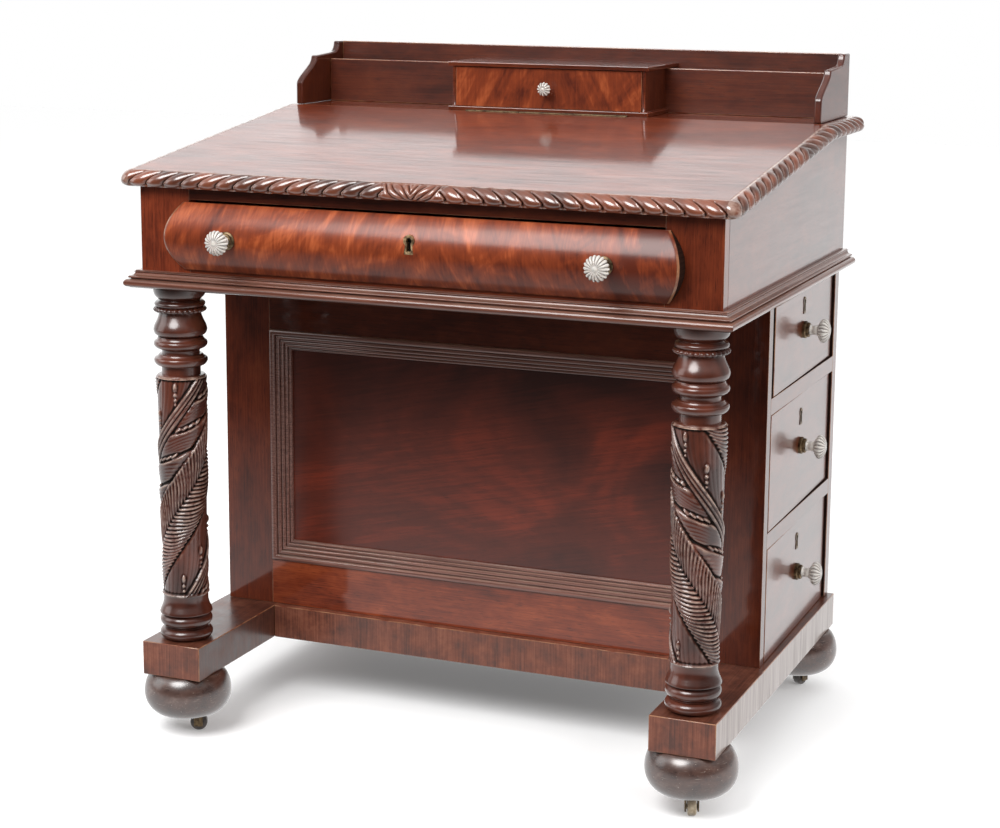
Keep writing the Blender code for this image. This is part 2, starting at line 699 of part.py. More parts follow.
def make_case():
    """The upper case: front frame, sides, back, floor, the floor of the well and the waist moulding."""
    half = CASE_HALF
    hole = half - CASE_STILE
    low, high = CASE_LOW, CASE_FRONT_TOP
    frame = [
        [(-half, low), (half, low), (half, high), (-half, high)],
        [(-hole, FRIEZE_LOW), (hole, FRIEZE_LOW), (hole, FRIEZE_HIGH), (-hole, FRIEZE_HIGH)],
    ]
    outline("case_front", "xz", frame, 0, CASE_FRONT, MAHOGANY)
    start = CASE_FRONT + GAP
    top = SHELF_LOW - GAP
    side = [
        (start, low),
        (CASE_REAR, low),
        (CASE_REAR, top),
        (BEND, top),
        (start, top - (BEND - start) * tan(SLOPE)),
    ]
    outline("case_side_left", "yz", [side], -half, CASE_BOARD - half, MAHOGANY)
    outline("case_side_right", "yz", [side], half - CASE_BOARD, half, MAHOGANY)
    inside = half - CASE_BOARD - GAP
    rear = CASE_REAR - CASE_BACK
    box("case_back", (-inside, inside), (rear, CASE_REAR), (low, top), MAHOGANY)
    ledge = hole - FRIEZE_BEARING
    guide = FRIEZE_LOW + FRIEZE_GUIDE
    bed = low + CASE_FLOOR
    runner = [(inside, low), (inside, guide), (hole, guide), (hole, FRIEZE_LOW)]
    runner += [(ledge, FRIEZE_LOW), (ledge, bed)]
    trough = runner + [(-x, z) for x, z in reversed(runner)]
    outline("case_floor", "xz", [trough], start, rear - GAP, LINING)
    box("well_floor", (-inside, inside), (start, rear - GAP), (FRIEZE_HIGH, WELL_TOP), LINING)
    make_waist()


def make_waist():
    """The waist moulding: a fillet and a cove over a half-round bead, round three sides of the case."""
    bead_high = WAIST_FOOT + 2 * WAIST_BEAD_RADIUS
    bead_core = WAIST_PROJECTION - WAIST_BEAD_RADIUS
    cove_high = bead_high + WAIST_COVE
    section = [(GAP, 0), (bead_core, 0), (bead_core, WAIST_FOOT)]
    radius = WAIST_BEAD_RADIUS
    section += arc(bead_core, WAIST_FOOT + radius, radius, radius, -90, 90, ARC_STEPS)
    section += arc(bead_core, cove_high, bead_core - WAIST_FILLET, WAIST_COVE, 270, 180, COVE_STEPS)
    section += [(WAIST_FILLET, WAIST_HEIGHT), (GAP, WAIST_HEIGHT)]
    path = [(-CASE_HALF, CASE_REAR), (-CASE_HALF, 0), (CASE_HALF, 0), (CASE_HALF, CASE_REAR)]
    mitred(
        "waist_moulding",
        without_repeats(section),
        path,
        False,
        lambda x, y, up: (x, y, CASE_LOW + up),
        MAHOGANY,
    )


def make_frieze_drawer():
    """A drawer with a bolster front that bulges forward and has bowed ends."""
    hole = CASE_HALF - CASE_STILE
    slide = axis_empty("frieze_drawer_axis", (0, 0, FRIEZE_FRONT_MIDDLE), parent=DESK)
    half_height = FRIEZE_FRONT_HEIGHT / 2
    half_width = FRIEZE_FRONT_WIDTH / 2
    rear = -DRAWER_CLEARANCE
    shares = [2 * n / (2 * ARC_STEPS) - 1 for n in range(2 * ARC_STEPS + 1)]
    bolster = [(rear, -half_height)]
    for share in shares:
        bolster.append((rear - FRIEZE_EDGE - FRIEZE_BULGE * (1 - share**2), share * half_height))
    bolster.append((rear, half_height))
    front = outline("frieze_drawer_front", "yz", [bolster], -half_width, half_width, FLAME, slide)
    edge = [(half_width - FRIEZE_END_BOW * share**2, share * half_height) for share in shares]
    face = edge + [(-x, z) for x, z in reversed(edge)]
    shape = outline("frieze_end_shape", "xz", [face], 2 * FRIEZE_FACE, -FRIEZE_FACE, FLAME, slide)
    combine(front, shape, "INTERSECT")
    tray(
        "frieze_drawer_box",
        (DRAWER_CLEARANCE - hole, hole - DRAWER_CLEARANCE),
        (rear + GAP, FRIEZE_BOX_DEPTH),
        (FRIEZE_LOW + GAP - FRIEZE_FRONT_MIDDLE, half_height - FRIEZE_BOX_DROP),
        (BOX_WALL, BOX_WALL, BOX_WALL, BOX_WALL),
        BOX_FLOOR,
        LINING,
        slide,
    )
    for side, x in (("left", -FRIEZE_KNOB_SPACING / 2), ("right", FRIEZE_KNOB_SPACING / 2)):
        make_knob("frieze_" + side, (x, FRIEZE_FACE, 0), (pi / 2, 0, 0), slide)


def edging_section():
    """The edging from the top arris outward and down: an elliptical brow and a rolled-under lip."""
    brow = arc(0, -EDGING_DROP, EDGING_WIDTH, EDGING_DROP, 90, 0, BROW_STEPS)
    half = EDGING_WIDTH / 2
    lip = arc(half, -EDGING_DROP, half, LID_THICKNESS - EDGING_DROP, 0, -90, COVE_STEPS)
    return brow + lip[1:] + [(0, -LID_THICKNESS)]


def make_top():
    """The writing slope on its hinge, its edging, and the fixed shelf behind it."""
    lid_axis = axis_empty("lid_axis", (0, BEND, SHELF_TOP), (SLOPE, 0, 0), DESK)
    lean = tan(SLOPE)
    board = [
        (-LID_LENGTH, -LID_THICKNESS),
        (-LID_THICKNESS * lean, -LID_THICKNESS),
        (0, 0),
        (-LID_LENGTH, 0),
    ]
    lid = outline("lid", "yz", [board], GAP - TOP_HALF, TOP_HALF - GAP, MAHOGANY, lid_axis)
    path = [(-TOP_HALF, 0), (-TOP_HALF, -LID_LENGTH - GAP), (TOP_HALF, -LID_LENGTH - GAP), (TOP_HALF, 0)]
    mitred(
        "lid_edging",
        edging_section(),
        path,
        False,
        lambda x, y, up: (x, y, up),
        CARVED,
        lid_axis,
        lean,
    )
    scale = LID_DEPTH / LID_THICKNESS
    rim = [(TOP_HALF + out, SHELF_TOP + up * scale) for out, up in edging_section()[:-1]]
    slab = rim + [(-x, z) for x, z in reversed(rim)]
    shelf = outline("shelf", "xz", [slab], BEND + LID_JOINT, TOP_REAR, MAHOGANY)
    make_hinge(lid, shelf, lid_axis)


def make_hinge(lid, shelf, lid_axis):
    """A strip hinge let into the joint: the fixed leaf has the end knuckles and the pin."""
    half = HINGE_LENGTH / 2
    knuckle = HINGE_LENGTH / 3
    leaf = HINGE_LEAF
    nook = HINGE_BARREL + GAP
    deep = -HINGE_LEAF_HEIGHT - GAP
    lie = (0, pi / 2, 0)
    lid_slot = box("lid_hinge_slot", (-half - GAP, half + GAP), (-nook, nook), (deep, nook), BRASS, lid_axis)
    combine(lid, lid_slot, "DIFFERENCE")
    joint = axis_empty("hinge_place", (0, BEND, SHELF_TOP), parent=DESK)
    slot = box("shelf_hinge_slot", (-half - GAP, half + GAP), (-nook, nook), (deep, nook), BRASS, joint)
    combine(shelf, slot, "DIFFERENCE")

    fixed = box("lid_hinge_fixed", (-half, half), (nook - leaf, nook - GAP), (GAP + deep, 0), BRASS, joint)
    middle = (-knuckle / 2 - GAP, knuckle / 2 + GAP)
    clear = box("fixed_leaf_gap", middle, (-nook, nook), (-nook, nook), BRASS, joint)
    combine(fixed, clear, "DIFFERENCE")
    for side in (-1, 1):
        place = (side * (knuckle + GAP / 2), 0, 0)
        barrel = cylinder("fixed_knuckle", HINGE_BARREL, knuckle - GAP, place, lie, BRASS, joint)
        combine(fixed, barrel, "UNION")
    pin = cylinder("hinge_pin", HINGE_PIN, HINGE_LENGTH - knuckle, (0, 0, 0), lie, BRASS, joint)
    combine(fixed, pin, "UNION")

    thick = (GAP - nook, leaf - nook)
    moving = box("lid_hinge_moving", (-half, half), thick, (GAP + deep, 0), BRASS, lid_axis)
    for side in (-1, 1):
        outer = sorted((side * (knuckle / 2 - GAP), side * (half + GAP)))
        clear = box("moving_leaf_gap", outer, (-nook, nook), (-nook, nook), BRASS, lid_axis)
        combine(moving, clear, "DIFFERENCE")
    sleeve = cylinder("moving_knuckle", HINGE_BARREL, knuckle - 2 * GAP, (0, 0, 0), lie, BRASS, lid_axis)
    combine(moving, sleeve, "UNION")
    bore = cylinder("moving_bore", HINGE_PIN + GAP, HINGE_LENGTH, (0, 0, 0), lie, BRASS, lid_axis)
    combine(moving, bore, "DIFFERENCE")


def scroll_outline():
    """A gallery end from its front foot: upright, ogee to the tongue, step and cove to the back."""
    low = SHELF_TOP + GAP
    high = SHELF_TOP + GALLERY_HEIGHT
    shoulder = low + SCROLL_FOOT
    tongue = SHELF_TOP + SCROLL_TONGUE - SCROLL_NOSE
    points = [(GALLERY_FRONT, low)]
    for n in range(ARC_STEPS + 1):
        share = n / ARC_STEPS
        ease = share * share * (3 - 2 * share)
        points.append((GALLERY_FRONT + SCROLL_SWEEP * ease, shoulder + (tongue - shoulder) * share))
    points.append((GALLERY_FRONT + SCROLL_SWEEP, tongue + SCROLL_NOSE))
    cove = CASE_REAR - SCROLL_FLAT - SCROLL_COVE
    points += arc(cove, high, SCROLL_COVE, SCROLL_COVE, -90, 0, RING_STEPS)
    return points + [(CASE_REAR, high), (CASE_REAR, low)]


def make_gallery():
    """Scrolled ends, back board and letter divider round the shelf."""
    ends = [scroll_outline()]
    outline("gallery_end_left", "yz", ends, -CASE_HALF, GALLERY_END - CASE_HALF, MAHOGANY)
    outline("gallery_end_right", "yz", ends, CASE_HALF - GALLERY_END, CASE_HALF, MAHOGANY)
    reach = CASE_HALF - GALLERY_END - GAP
    low = SHELF_TOP + GAP
    across = (-reach, reach)
    box("gallery_back", across, (GALLERY_BACK_FACE, CASE_REAR), (low, SHELF_TOP + GALLERY_HEIGHT), MAHOGANY)
    box("letter_divider", across, (DIVIDER_FRONT, DIVIDER_REAR), (low, NEST_TOP_LOW - GAP), MAHOGANY)
    make_nest()


def make_nest():
    """The nest on the shelf: a case with moulded boards, and its little drawer."""
    wide = (-NEST_HALF, NEST_HALF)
    rear = DIVIDER_FRONT - GAP
    high = (NEST_TOP_LOW, NEST_TOP_LOW + NEST_BOARD)
    nest = box("nest_case", wide, (GALLERY_FRONT, GALLERY_BACK_FACE - GAP), high, MAHOGANY)
    body = (-NEST_BODY_HALF, NEST_BODY_HALF)
    overlap = NEST_BOARD / 2
    walls = box(
        "nest_walls", body, (NEST_BODY_FRONT, rear), (NEST_FLOOR - overlap, NEST_TOP_LOW + overlap), MAHOGANY
    )
    combine(nest, walls, "UNION")
    base = box("nest_base", wide, (GALLERY_FRONT, rear), (NEST_LOW, NEST_FLOOR), MAHOGANY)
    combine(nest, base, "UNION")
    room = NEST_BODY_HALF - NEST_WALL
    pocket = box(
        "nest_pocket", (-room, room), (GALLERY_FRONT, CASE_REAR), (NEST_FLOOR, NEST_TOP_LOW), MAHOGANY
    )
    combine(nest, pocket, "DIFFERENCE")

    middle = (NEST_FLOOR + NEST_TOP_LOW) / 2
    slide = axis_empty("gallery_drawer_axis", (0, NEST_BODY_FRONT, middle), parent=DESK)
    half = room - DRAWER_CLEARANCE
    tall = (NEST_FLOOR + GAP - middle, NEST_TOP_LOW - DRAWER_CLEARANCE - middle)
    tray(
        "gallery_drawer",
        (-half, half),
        (0, rear - DRAWER_CLEARANCE - NEST_BODY_FRONT),
        tall,
        (GALLERY_BOX_WALL, GALLERY_BOX_WALL, GALLERY_FRONT_THICKNESS, GALLERY_BOX_WALL),
        GALLERY_BOX_FLOOR,
        FLAME,
        slide,
    )
    glass = knob_profile(SMALL_KNOB_RADIUS, SMALL_KNOB_HEAD, SMALL_KNOB_NECK, SMALL_NECK_RADIUS)
    turned("knob_gallery", glass, (0, -GAP, 0), (pi / 2, 0, 0), GLASS, slide, SMALL_TURN_STEPS)


make_feet()
make_base()
make_columns()
make_pedestal()
make_side_drawers()
make_case()
make_frieze_drawer()
make_top()
make_gallery()
bpy.context.view_layer.update()
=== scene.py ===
"""Looks for a davenport writing desk: carved, turned, moulded and polished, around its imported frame."""

import json
from math import atan2, cos, pi, radians, sin, tan

import bmesh
import bpy
import numpy as np
from mathutils import Matrix, Vector


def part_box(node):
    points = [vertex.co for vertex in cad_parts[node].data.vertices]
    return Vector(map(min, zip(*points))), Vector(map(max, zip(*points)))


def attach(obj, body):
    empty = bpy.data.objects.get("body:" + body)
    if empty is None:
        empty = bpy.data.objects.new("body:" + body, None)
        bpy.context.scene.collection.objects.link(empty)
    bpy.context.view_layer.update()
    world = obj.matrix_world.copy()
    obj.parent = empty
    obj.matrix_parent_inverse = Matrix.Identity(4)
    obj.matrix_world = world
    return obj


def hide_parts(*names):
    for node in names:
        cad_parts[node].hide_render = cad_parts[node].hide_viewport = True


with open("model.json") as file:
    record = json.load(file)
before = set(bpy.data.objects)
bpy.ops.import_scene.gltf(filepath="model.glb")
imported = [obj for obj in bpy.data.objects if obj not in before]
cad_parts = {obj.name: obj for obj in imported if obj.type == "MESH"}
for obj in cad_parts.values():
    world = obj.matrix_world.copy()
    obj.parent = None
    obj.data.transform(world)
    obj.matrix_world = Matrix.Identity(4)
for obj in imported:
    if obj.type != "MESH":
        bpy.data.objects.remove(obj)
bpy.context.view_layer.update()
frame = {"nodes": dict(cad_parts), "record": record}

# Camera, matched to the photograph
CAMERA_PLACE = (1.08925, -2.65550, 1.05160)
CAMERA_AZIMUTH = 22.35
CAMERA_ELEVATION = 10.86
CAMERA_ROLL = 0.39
CAMERA_LENS = 77.98
CAMERA_SENSOR = 36
CAMERA_SHIFT = (-0.00088, -0.0568)

# Stage and light; pairs are the values at the two ends of a range
FLOOR_REACH = 9
FLOOR_COLOUR = (0.90, 0.90, 0.90)
FLOOR_BOUNCE = (0.20, 0.20, 0.20)
FLOOR_SEEN = 0.12
FLOOR_MIRRORED = (0.03, 1.15)
FLOOR_MIRROR_TURN = (-1.7, -0.5)
SKY_RISING = (0.18, 1.35)
SKY_SEEN = 1.0
SKY_MIRRORED_FRONT = (0.02, 0.8)
SKY_FRONT_RISE = (0.25, 0.85)
SKY_MIRRORED_BACK = (1.38, 0.4)
SKY_BACK_RISE = (0.5, 0.8)
SKY_RIGHT_TURN = (-0.15, 0.3)
SKY_RIGHT_DIM = (1.0, 0.3)
SKY_MIRROR_TURN = (-0.3, 0.5)
KEY_PLACE = (-0.6, -2.5, 2.9)
KEY_POWER = 120
KEY_SIZE = 2.2
FILL_PLACE = (3.0, -0.6, 1.5)
FILL_POWER = 60
FILL_SIZE = 1.8
STRIP_PLACE = (-3.0, -1.4, 1.5)
STRIP_POWER = 25
STRIP_WIDTH = 1.8
STRIP_HEIGHT = 2.2
AIM = (0, 0, 0.5)

# Mesh finish, with angles in degrees
WELD = 0.00001
FLAT_ANGLE = 1
SHARP_ANGLE = 35
FRIEZE_ANGLE = 40
MOULDING_ANGLE = 50
COLUMN_ANGLE = 60
MILLIMETRE = 0.001
EDGE_BEVEL = 0.0009
FINE_BEVEL = 0.0004
BEVEL_SEGMENTS = 2
ARRIS_MATERIAL = 1
BROAD_FACE = 0.0002
GAP = 0.0003
FACING = 0.7

# Turned members
TURN_STEPS = 128
SMALL_TURN_STEPS = 72
ARC_STEPS = 14
# How fast painted shade deepens with the depth of a groove
GROOVE_SHADE = 5
TURN_TIP = 0.0002

# Columns, in millimetres above their feet
COLUMN_STEPS = 240
COLUMN_MIDDLE_RADIUS = 33
COLUMN_LEAD = 42.5
COLUMN_BEADS = 28
COLUMN_BEAD_DEPTH = 2.6
SHAFT_LOW = 62.4
SHAFT_HIGH = 355.7
SHAFT_EASE = 4
SHAFT_START = 0.4
SHAFT_ROWS = 345
SHAFT_LOW_RADIUS = 31.5
SHAFT_HIGH_RADIUS = 34.9
FEATHER_EDGE = 111
MIDRIB = 59
LOBE_EDGE = 109
STEM_LOW = 171
STRAP_LOW = 197
BARB_PITCH = 6.9
LOBE_PITCH = 56
LOBE_VEINS = (0.30, 0.46, 0.60, 0.73, 0.84)
EYE_DEPTH = 3.1
EYE_PELLETS = (5, 10.4, 15.8, 21)
PELLET_RADIUS = 2.6
FLUTE_PITCH = 8.2
BEAD_ROWS = 14
BEAD_RISE = 37
BEAD_TOP = 335
BEAD_DEPTH = 2.2
# Each bead of a row: its drop, radius and stretch
BEADS = ((0, 2.8, 2.0), (10, 2.2, 1.0), (17, 1.8, 1.0), (23, 1.5, 1.0))
CARVING_BOLDNESS = 1.35
CARVING_LIMIT = 6.4

# Gadrooned edging; rises and ends are shares of the way down its section
EDGING_WIDTH = 0.0173
EDGING_DROP = 0.0135
EDGING_THICKNESS = 0.0205
BROW_STEPS = 26
LIP_STEPS = 14
CORNER_STEPS = 22
GADROON_FRONT_LOBES = 14
GADROON_SIDE_LOBES = 12
GADROON_DEPTH = 0.0060
GADROON_LIP = 0.0011
GADROON_RISE = (0.04, 0.26)
GADROON_END = (0.84, 0.90)
LEAF_HALF = 0.045
LEAF_RIB = 0.0092
LEAF_DEPTH = 0.0030
LEAF_RISE = (0.04, 0.2)
LEAF_SINK = 0.0006
EDGING_STEP = 0.0009
EDGING_ARRIS = 3
CORNER_WEAR = 0.6
LID_END_EASE = 0.03
SLOPE = radians(7.1)

# Keyholes: width, height and rim of each kind
FRIEZE_KEY = (0.015, 0.0242, 0.0036)
FRIEZE_KEY_RAISE = 0.0097
FRIEZE_KEY_PROUD = 0.0002
SIDE_KEY = (0.012, 0.0225, 0.0034)
SIDE_KEY_RAISE = {"low": 0.0486, "middle": 0.0454, "top": 0.0381}
SIDE_KEY_PROUD = 0.0009
SIDE_KEY_ASIDE = 0.0014
KEYHOLE_CUT = 0.008
KEYHOLE_DEPTH = 0.006
KEYHOLE_PLAY = 0.0001
KEYHOLE_FLARE = 0.85

# Frieze drawer and the hole for it
FRIEZE_BULGE = 0.020
FRIEZE_EDGE = 0.0035
FRIEZE_BOW = 0.018
FRIEZE_EASE = 0.0016
FRIEZE_EASE_REACH = 0.0022
FRIEZE_COLUMNS = 260
FRIEZE_ROWS = 44
FRIEZE_WEAR_AND_HIGHLIGHT = 0.0024
END_SIDEWAYS = 0.5
END_FORWARD = 0.3
HOLE_PLAY = 0.0011
HOLE_REVEAL = 0.0043
HOLE_TOP = 0.7263

# Side drawers: how far each front is drawn in at its two ends, and how far it falls back
DRAWERS = ("low", "middle", "top")
FRONT_LOOSE = {"low": (0.003, 0.004), "middle": (0.003, 0.004), "top": (0.010, 0.004)}
FRONT_SKEW = 0.0035
END_SHARE = 0.05
BOX_END = 0.004

# Knobs: radius, head, neck and neck radius of each kind
KNOB_SIZE = (0.0161, 0.0165, 0.0105, 0.007)
KNOB_FLUTES = 18
KNOB_FLUTE_DEPTH = 0.17
SMALL_KNOB_SIZE = (0.0098, 0.0115, 0.0075, 0.0045)
SMALL_KNOB_FLUTES = 12
SMALL_FLUTE_DEPTH = 0.24
KNOB_STEPS = 144
FERRULE_STEPS = 104
REED_LOW = 0.0032
REED_INNER = 0.004
REED_DEPTH = 0.06
REEDS = 13

# Gallery ends
SCROLL_FOOT = 0.029
SCROLL_TONGUE = 0.0692
SCROLL_SWEEP = 0.0466
SCROLL_NOSE = 0.0035
SCROLL_TIP = 0.0012
SCROLL_COVE = 0.015
SCROLL_FLAT = 0.031
SCROLL_STEPS = 24
SCROLL_ROUND = 0.0024

# Feet
CORNERS = ("front_left", "front_right", "back_left", "back_right")
PALE_CORNER = "front_right"
BUN_WIDEST = 0.031
WHEEL_HALF = 0.0055
WHEEL_EDGE = 0.0025
AXLE = 0.003

# Wood colours, linear
WOOD_DARK = (0.060, 0.010, 0.004)
WOOD_MIDDLE = (0.130, 0.023, 0.008)
WOOD_LIGHT = (0.220, 0.046, 0.015)
WOOD_PLACES = (0.38, 0.52, 0.68)
FLAME_DARK = (0.090, 0.016, 0.007)
FLAME_MIDDLE = (0.220, 0.040, 0.012)
FLAME_LIGHT = (0.500, 0.120, 0.037)
CARVED_HOLLOW_SHADE = (0.004, 0.002, 0.001)
CARVED_BODY = (0.028, 0.007, 0.004)
CARVED_LIGHT = (0.110, 0.026, 0.013)
CARVED_RUB_AND_HIGHLIGHT = (0.430, 0.300, 0.240)
EDGING_BODY = (0.050, 0.014, 0.007)
EDGING_LIGHT = (0.200, 0.055, 0.025)
EDGE_WEAR_AND_HIGHLIGHT = (0.300, 0.145, 0.075)
PORE = (0.014, 0.005, 0.004)
# Pale tone on up-facing moulding faces: partly dust, partly a painted highlight
DUST_AND_SHEEN = (0.230, 0.150, 0.115)

# Specular level under the coat, and the index and roughness of the carved coats
UNDER_GLOSS = 0.15
FULL_GLOSS = 0.5
CARVED_COAT = 1.65
EDGING_COAT = 1.9
CARVED_ROUGHNESS = 0.21

record = frame["record"]
LID_LOW, LID_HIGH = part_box("lid")
DESK_MIDDLE = (LID_LOW.x + LID_HIGH.x) / 2
TOP_HALF = (LID_HIGH.x - LID_LOW.x) / 2 + GAP
BODIES = {}
for body_name, body_nodes in record["behaviour"]["bodies"].items():
    for body_node in body_nodes:
        BODIES[body_node] = body_name


class Graph:
    """Short calls for building one material's nodes."""

    light = "Emission"

    def __init__(self, name):
        self.material = bpy.data.materials.new(name)
        self.material.use_nodes = True
        self.tree = self.material.node_tree
        self.shader = self.tree.nodes["Principled BSDF"]

    def node(self, kind, inputs=None, **settings):
        """A node with its settings, and its inputs linked or set."""
        made = self.tree.nodes.new("ShaderNode" + kind)
        for name, value in settings.items():
            setattr(made, name, value)
        for key, value in (inputs or {}).items():
            self.feed(made.inputs[key], value)
        return made

    def feed(self, socket, value):
        """Link an output to a socket, or set the socket to a constant."""
        if isinstance(value, bpy.types.NodeSocket):
            self.tree.links.new(value, socket)
        else:
            socket.default_value = value

    def set(self, **inputs):
        """Feed the shader's inputs, with underscores for spaces."""
        for key, value in inputs.items():
            self.feed(self.shader.inputs[key.replace("_", " ")], value)

    def spot(self):
        """Object coordinates."""
        return self.node("TexCoord").outputs["Object"]

    def parts(self, vector):
        """The X, Y and Z of a vector."""
        return self.node("SeparateXYZ", {"Vector": vector}).outputs

    def mapped(self, vector, **inputs):
        """A vector moved, turned or scaled."""
        return self.node("Mapping", {"Vector": vector, **inputs}).outputs["Vector"]

    def noise(self, vector, detail=3.0, roughness=0.55, distortion=0.0):
        inputs = {"Vector": vector, "Scale": 1.0, "Detail": detail}
        inputs.update({"Roughness": roughness, "Distortion": distortion})
        return self.node("TexNoise", inputs).outputs["Fac"]

    def grain(self, scale, turn=(0, 0, 0), place=(0, 0, 0), **noise):
        """Noise over object coordinates that are turned, then scaled in features per metre."""
        seat = self.mapped(self.spot(), Rotation=turn, Location=place)
        return self.noise(self.mapped(seat, Scale=scale), **noise)

    def ramp(self, fac, places, colours):
        """A colour ramp through colours at their places."""
        made = self.node("ValToRGB", {"Fac": fac})
        while len(made.color_ramp.elements) < len(colours):
            made.color_ramp.elements.new(1)
        for element, place, colour in zip(made.color_ramp.elements, places, colours):
            element.position = place
            element.color = (*colour, 1)
        return made.outputs["Color"]

    def span(self, fac, source, target=(0, 1)):
        """A value carried from one range to another, held at its ends."""
        inputs = {"Value": fac, "From Min": source[0], "From Max": source[1]}
        inputs.update({"To Min": target[0], "To Max": target[1]})
        return self.node("MapRange", inputs).outputs["Result"]

    def math(self, operation, first, second):
        return self.node("Math", {0: first, 1: second}, operation=operation).outputs["Value"]

    def times(self, first, second):
        return self.math("MULTIPLY", first, second)

    def weigh(self, *pairs):
        """The sum of values times their weights."""
        total = None
        for value, weight in pairs:
            part = self.times(value, weight)
            total = part if total is None else self.math("ADD", total, part)
        return total

    def mix(self, fac, first, second):
        """Mix two colours, each an output or a plain colour."""
        inputs = {0: fac, 6: opaque(first), 7: opaque(second)}
        return self.node("Mix", inputs, data_type="RGBA").outputs[2]

    def field(self, name):
        """A value stored on the mesh's points."""
        return self.node("Attribute", attribute_name=name).outputs["Fac"]

    def bump(self, height, strength, distance):
        inputs = {"Height": height, "Strength": strength, "Distance": distance}
        self.set(Normal=self.node("Bump", inputs).outputs["Normal"])

    def glow(self, strength):
        """Plain white light of a strength."""
        return self.node(self.light, {"Color": (1, 1, 1, 1), "Strength": strength}).outputs[0]

    def choose(self, fac, first, second):
        """One shader at 0 and another at 1."""
        return self.node("MixShader", {0: fac, 1: first, 2: second}).outputs["Shader"]

    def mirror(self, path):
        """1 for a ray that comes by way of a reflection or through glass."""
        return self.math("MAXIMUM", path["Is Glossy Ray"], path["Is Transmission Ray"])


class WorldGraph(Graph):
    """Short calls for building the world's nodes."""

    light = "Background"

    def __init__(self, world):
        self.tree = world.node_tree


def opaque(colour):
    """A plain colour with its alpha, or an output as it is."""
    if isinstance(colour, bpy.types.NodeSocket):
        return colour
    return (*colour, 1)


def shaded(shade, *colours):
    """Colours made darker or lighter by a shade."""
    return [tuple(shade * part for part in colour) for colour in colours]


def grain_scale(axis, across, along):
    """A texture scale per axis, in features per metre."""
    return tuple(along if letter == axis else across for letter in "xyz")


def polish(graph, roughness=0.34, coat_roughness=0.08, under=UNDER_GLOSS, coat=1.0):
    """A polished finish: a clear coat over a half-gloss wood."""
    graph.set(Roughness=roughness, Specular_IOR_Level=under)
    graph.set(Coat_Weight=coat, Coat_Roughness=coat_roughness, Coat_IOR=1.5)


def pores(graph, axis):
    """Short dark flecks along the grain, 1 in a fleck."""
    return graph.span(graph.grain(grain_scale(axis, 1300, 70), detail=1.0), (0.60, 0.72))


def pored(graph, tone, fleck, share):
    """Colour the surface in a tone with dark pores."""
    graph.set(Base_Color=graph.mix(graph.times(fleck, share), tone, PORE))


def two_tone(name, scale, places, colours, bump=None, **noise):
    """A graph whose one noise runs between two colours and may raise the surface, and that noise."""
    graph = Graph(name)
    patch = graph.grain(scale, **noise)
    graph.set(Base_Color=graph.ramp(patch, places, colours))
    if bump:
        graph.bump(patch, *bump)
    return graph, patch


def mahogany(name, axis, shade=1.0, coat_roughness=0.08, under=UNDER_GLOSS, streak=0.0):
    """Straight-grained, softly mottled mahogany along one axis; streak dulls its coat along the grain."""
    graph = Graph(name)
    cloud = graph.grain(grain_scale(axis, 14, 5), distortion=0.9)
    mottle = graph.grain(grain_scale(axis, 60, 30), distortion=0.6)
    fibre = graph.grain(grain_scale(axis, 520, 11), detail=4.0, roughness=0.6)
    blend = graph.weigh((fibre, 0.32), (mottle, 0.24), (cloud, 0.46))
    fleck = pores(graph, axis)
    tones = shaded(shade, WOOD_DARK, WOOD_MIDDLE, WOOD_LIGHT)
    pored(graph, graph.ramp(blend, WOOD_PLACES, tones), fleck, 0.6)
    polish(graph, coat_roughness=coat_roughness, under=under)
    if streak:
        graph.set(Coat_Weight=graph.span(fibre, (0.35, 0.60), (1 - streak, 1)))
    graph.bump(graph.math("SUBTRACT", fibre, fleck), 0.12, 0.0004)
    return graph.material


def moulded_wood(name, dark, light, dust_and_sheen, coat_roughness):
    """Wood of the mouldings, paler where it faces up: partly dust, partly a painted highlight."""
    graph = Graph(name)
    fibre = graph.grain((9, 520, 520))
    patch = graph.grain((30, 30, 30))
    tone = graph.ramp(fibre, (0.34, 0.66), (dark, light))
    facing = graph.parts(graph.node("TexCoord").outputs["Normal"])["Z"]
    # Up-facing faces are mixed towards the pale tone: partly dust, partly a painted highlight.
    settled_and_lit = graph.times(graph.span(facing, (0.25, 0.9)), graph.span(patch, (0.2, 0.7)))
    graph.set(Base_Color=graph.mix(graph.times(settled_and_lit, dust_and_sheen), tone, DUST_AND_SHEEN))
    polish(graph, coat_roughness=coat_roughness)
    graph.bump(fibre, 0.10, 0.0003)
    return graph.material


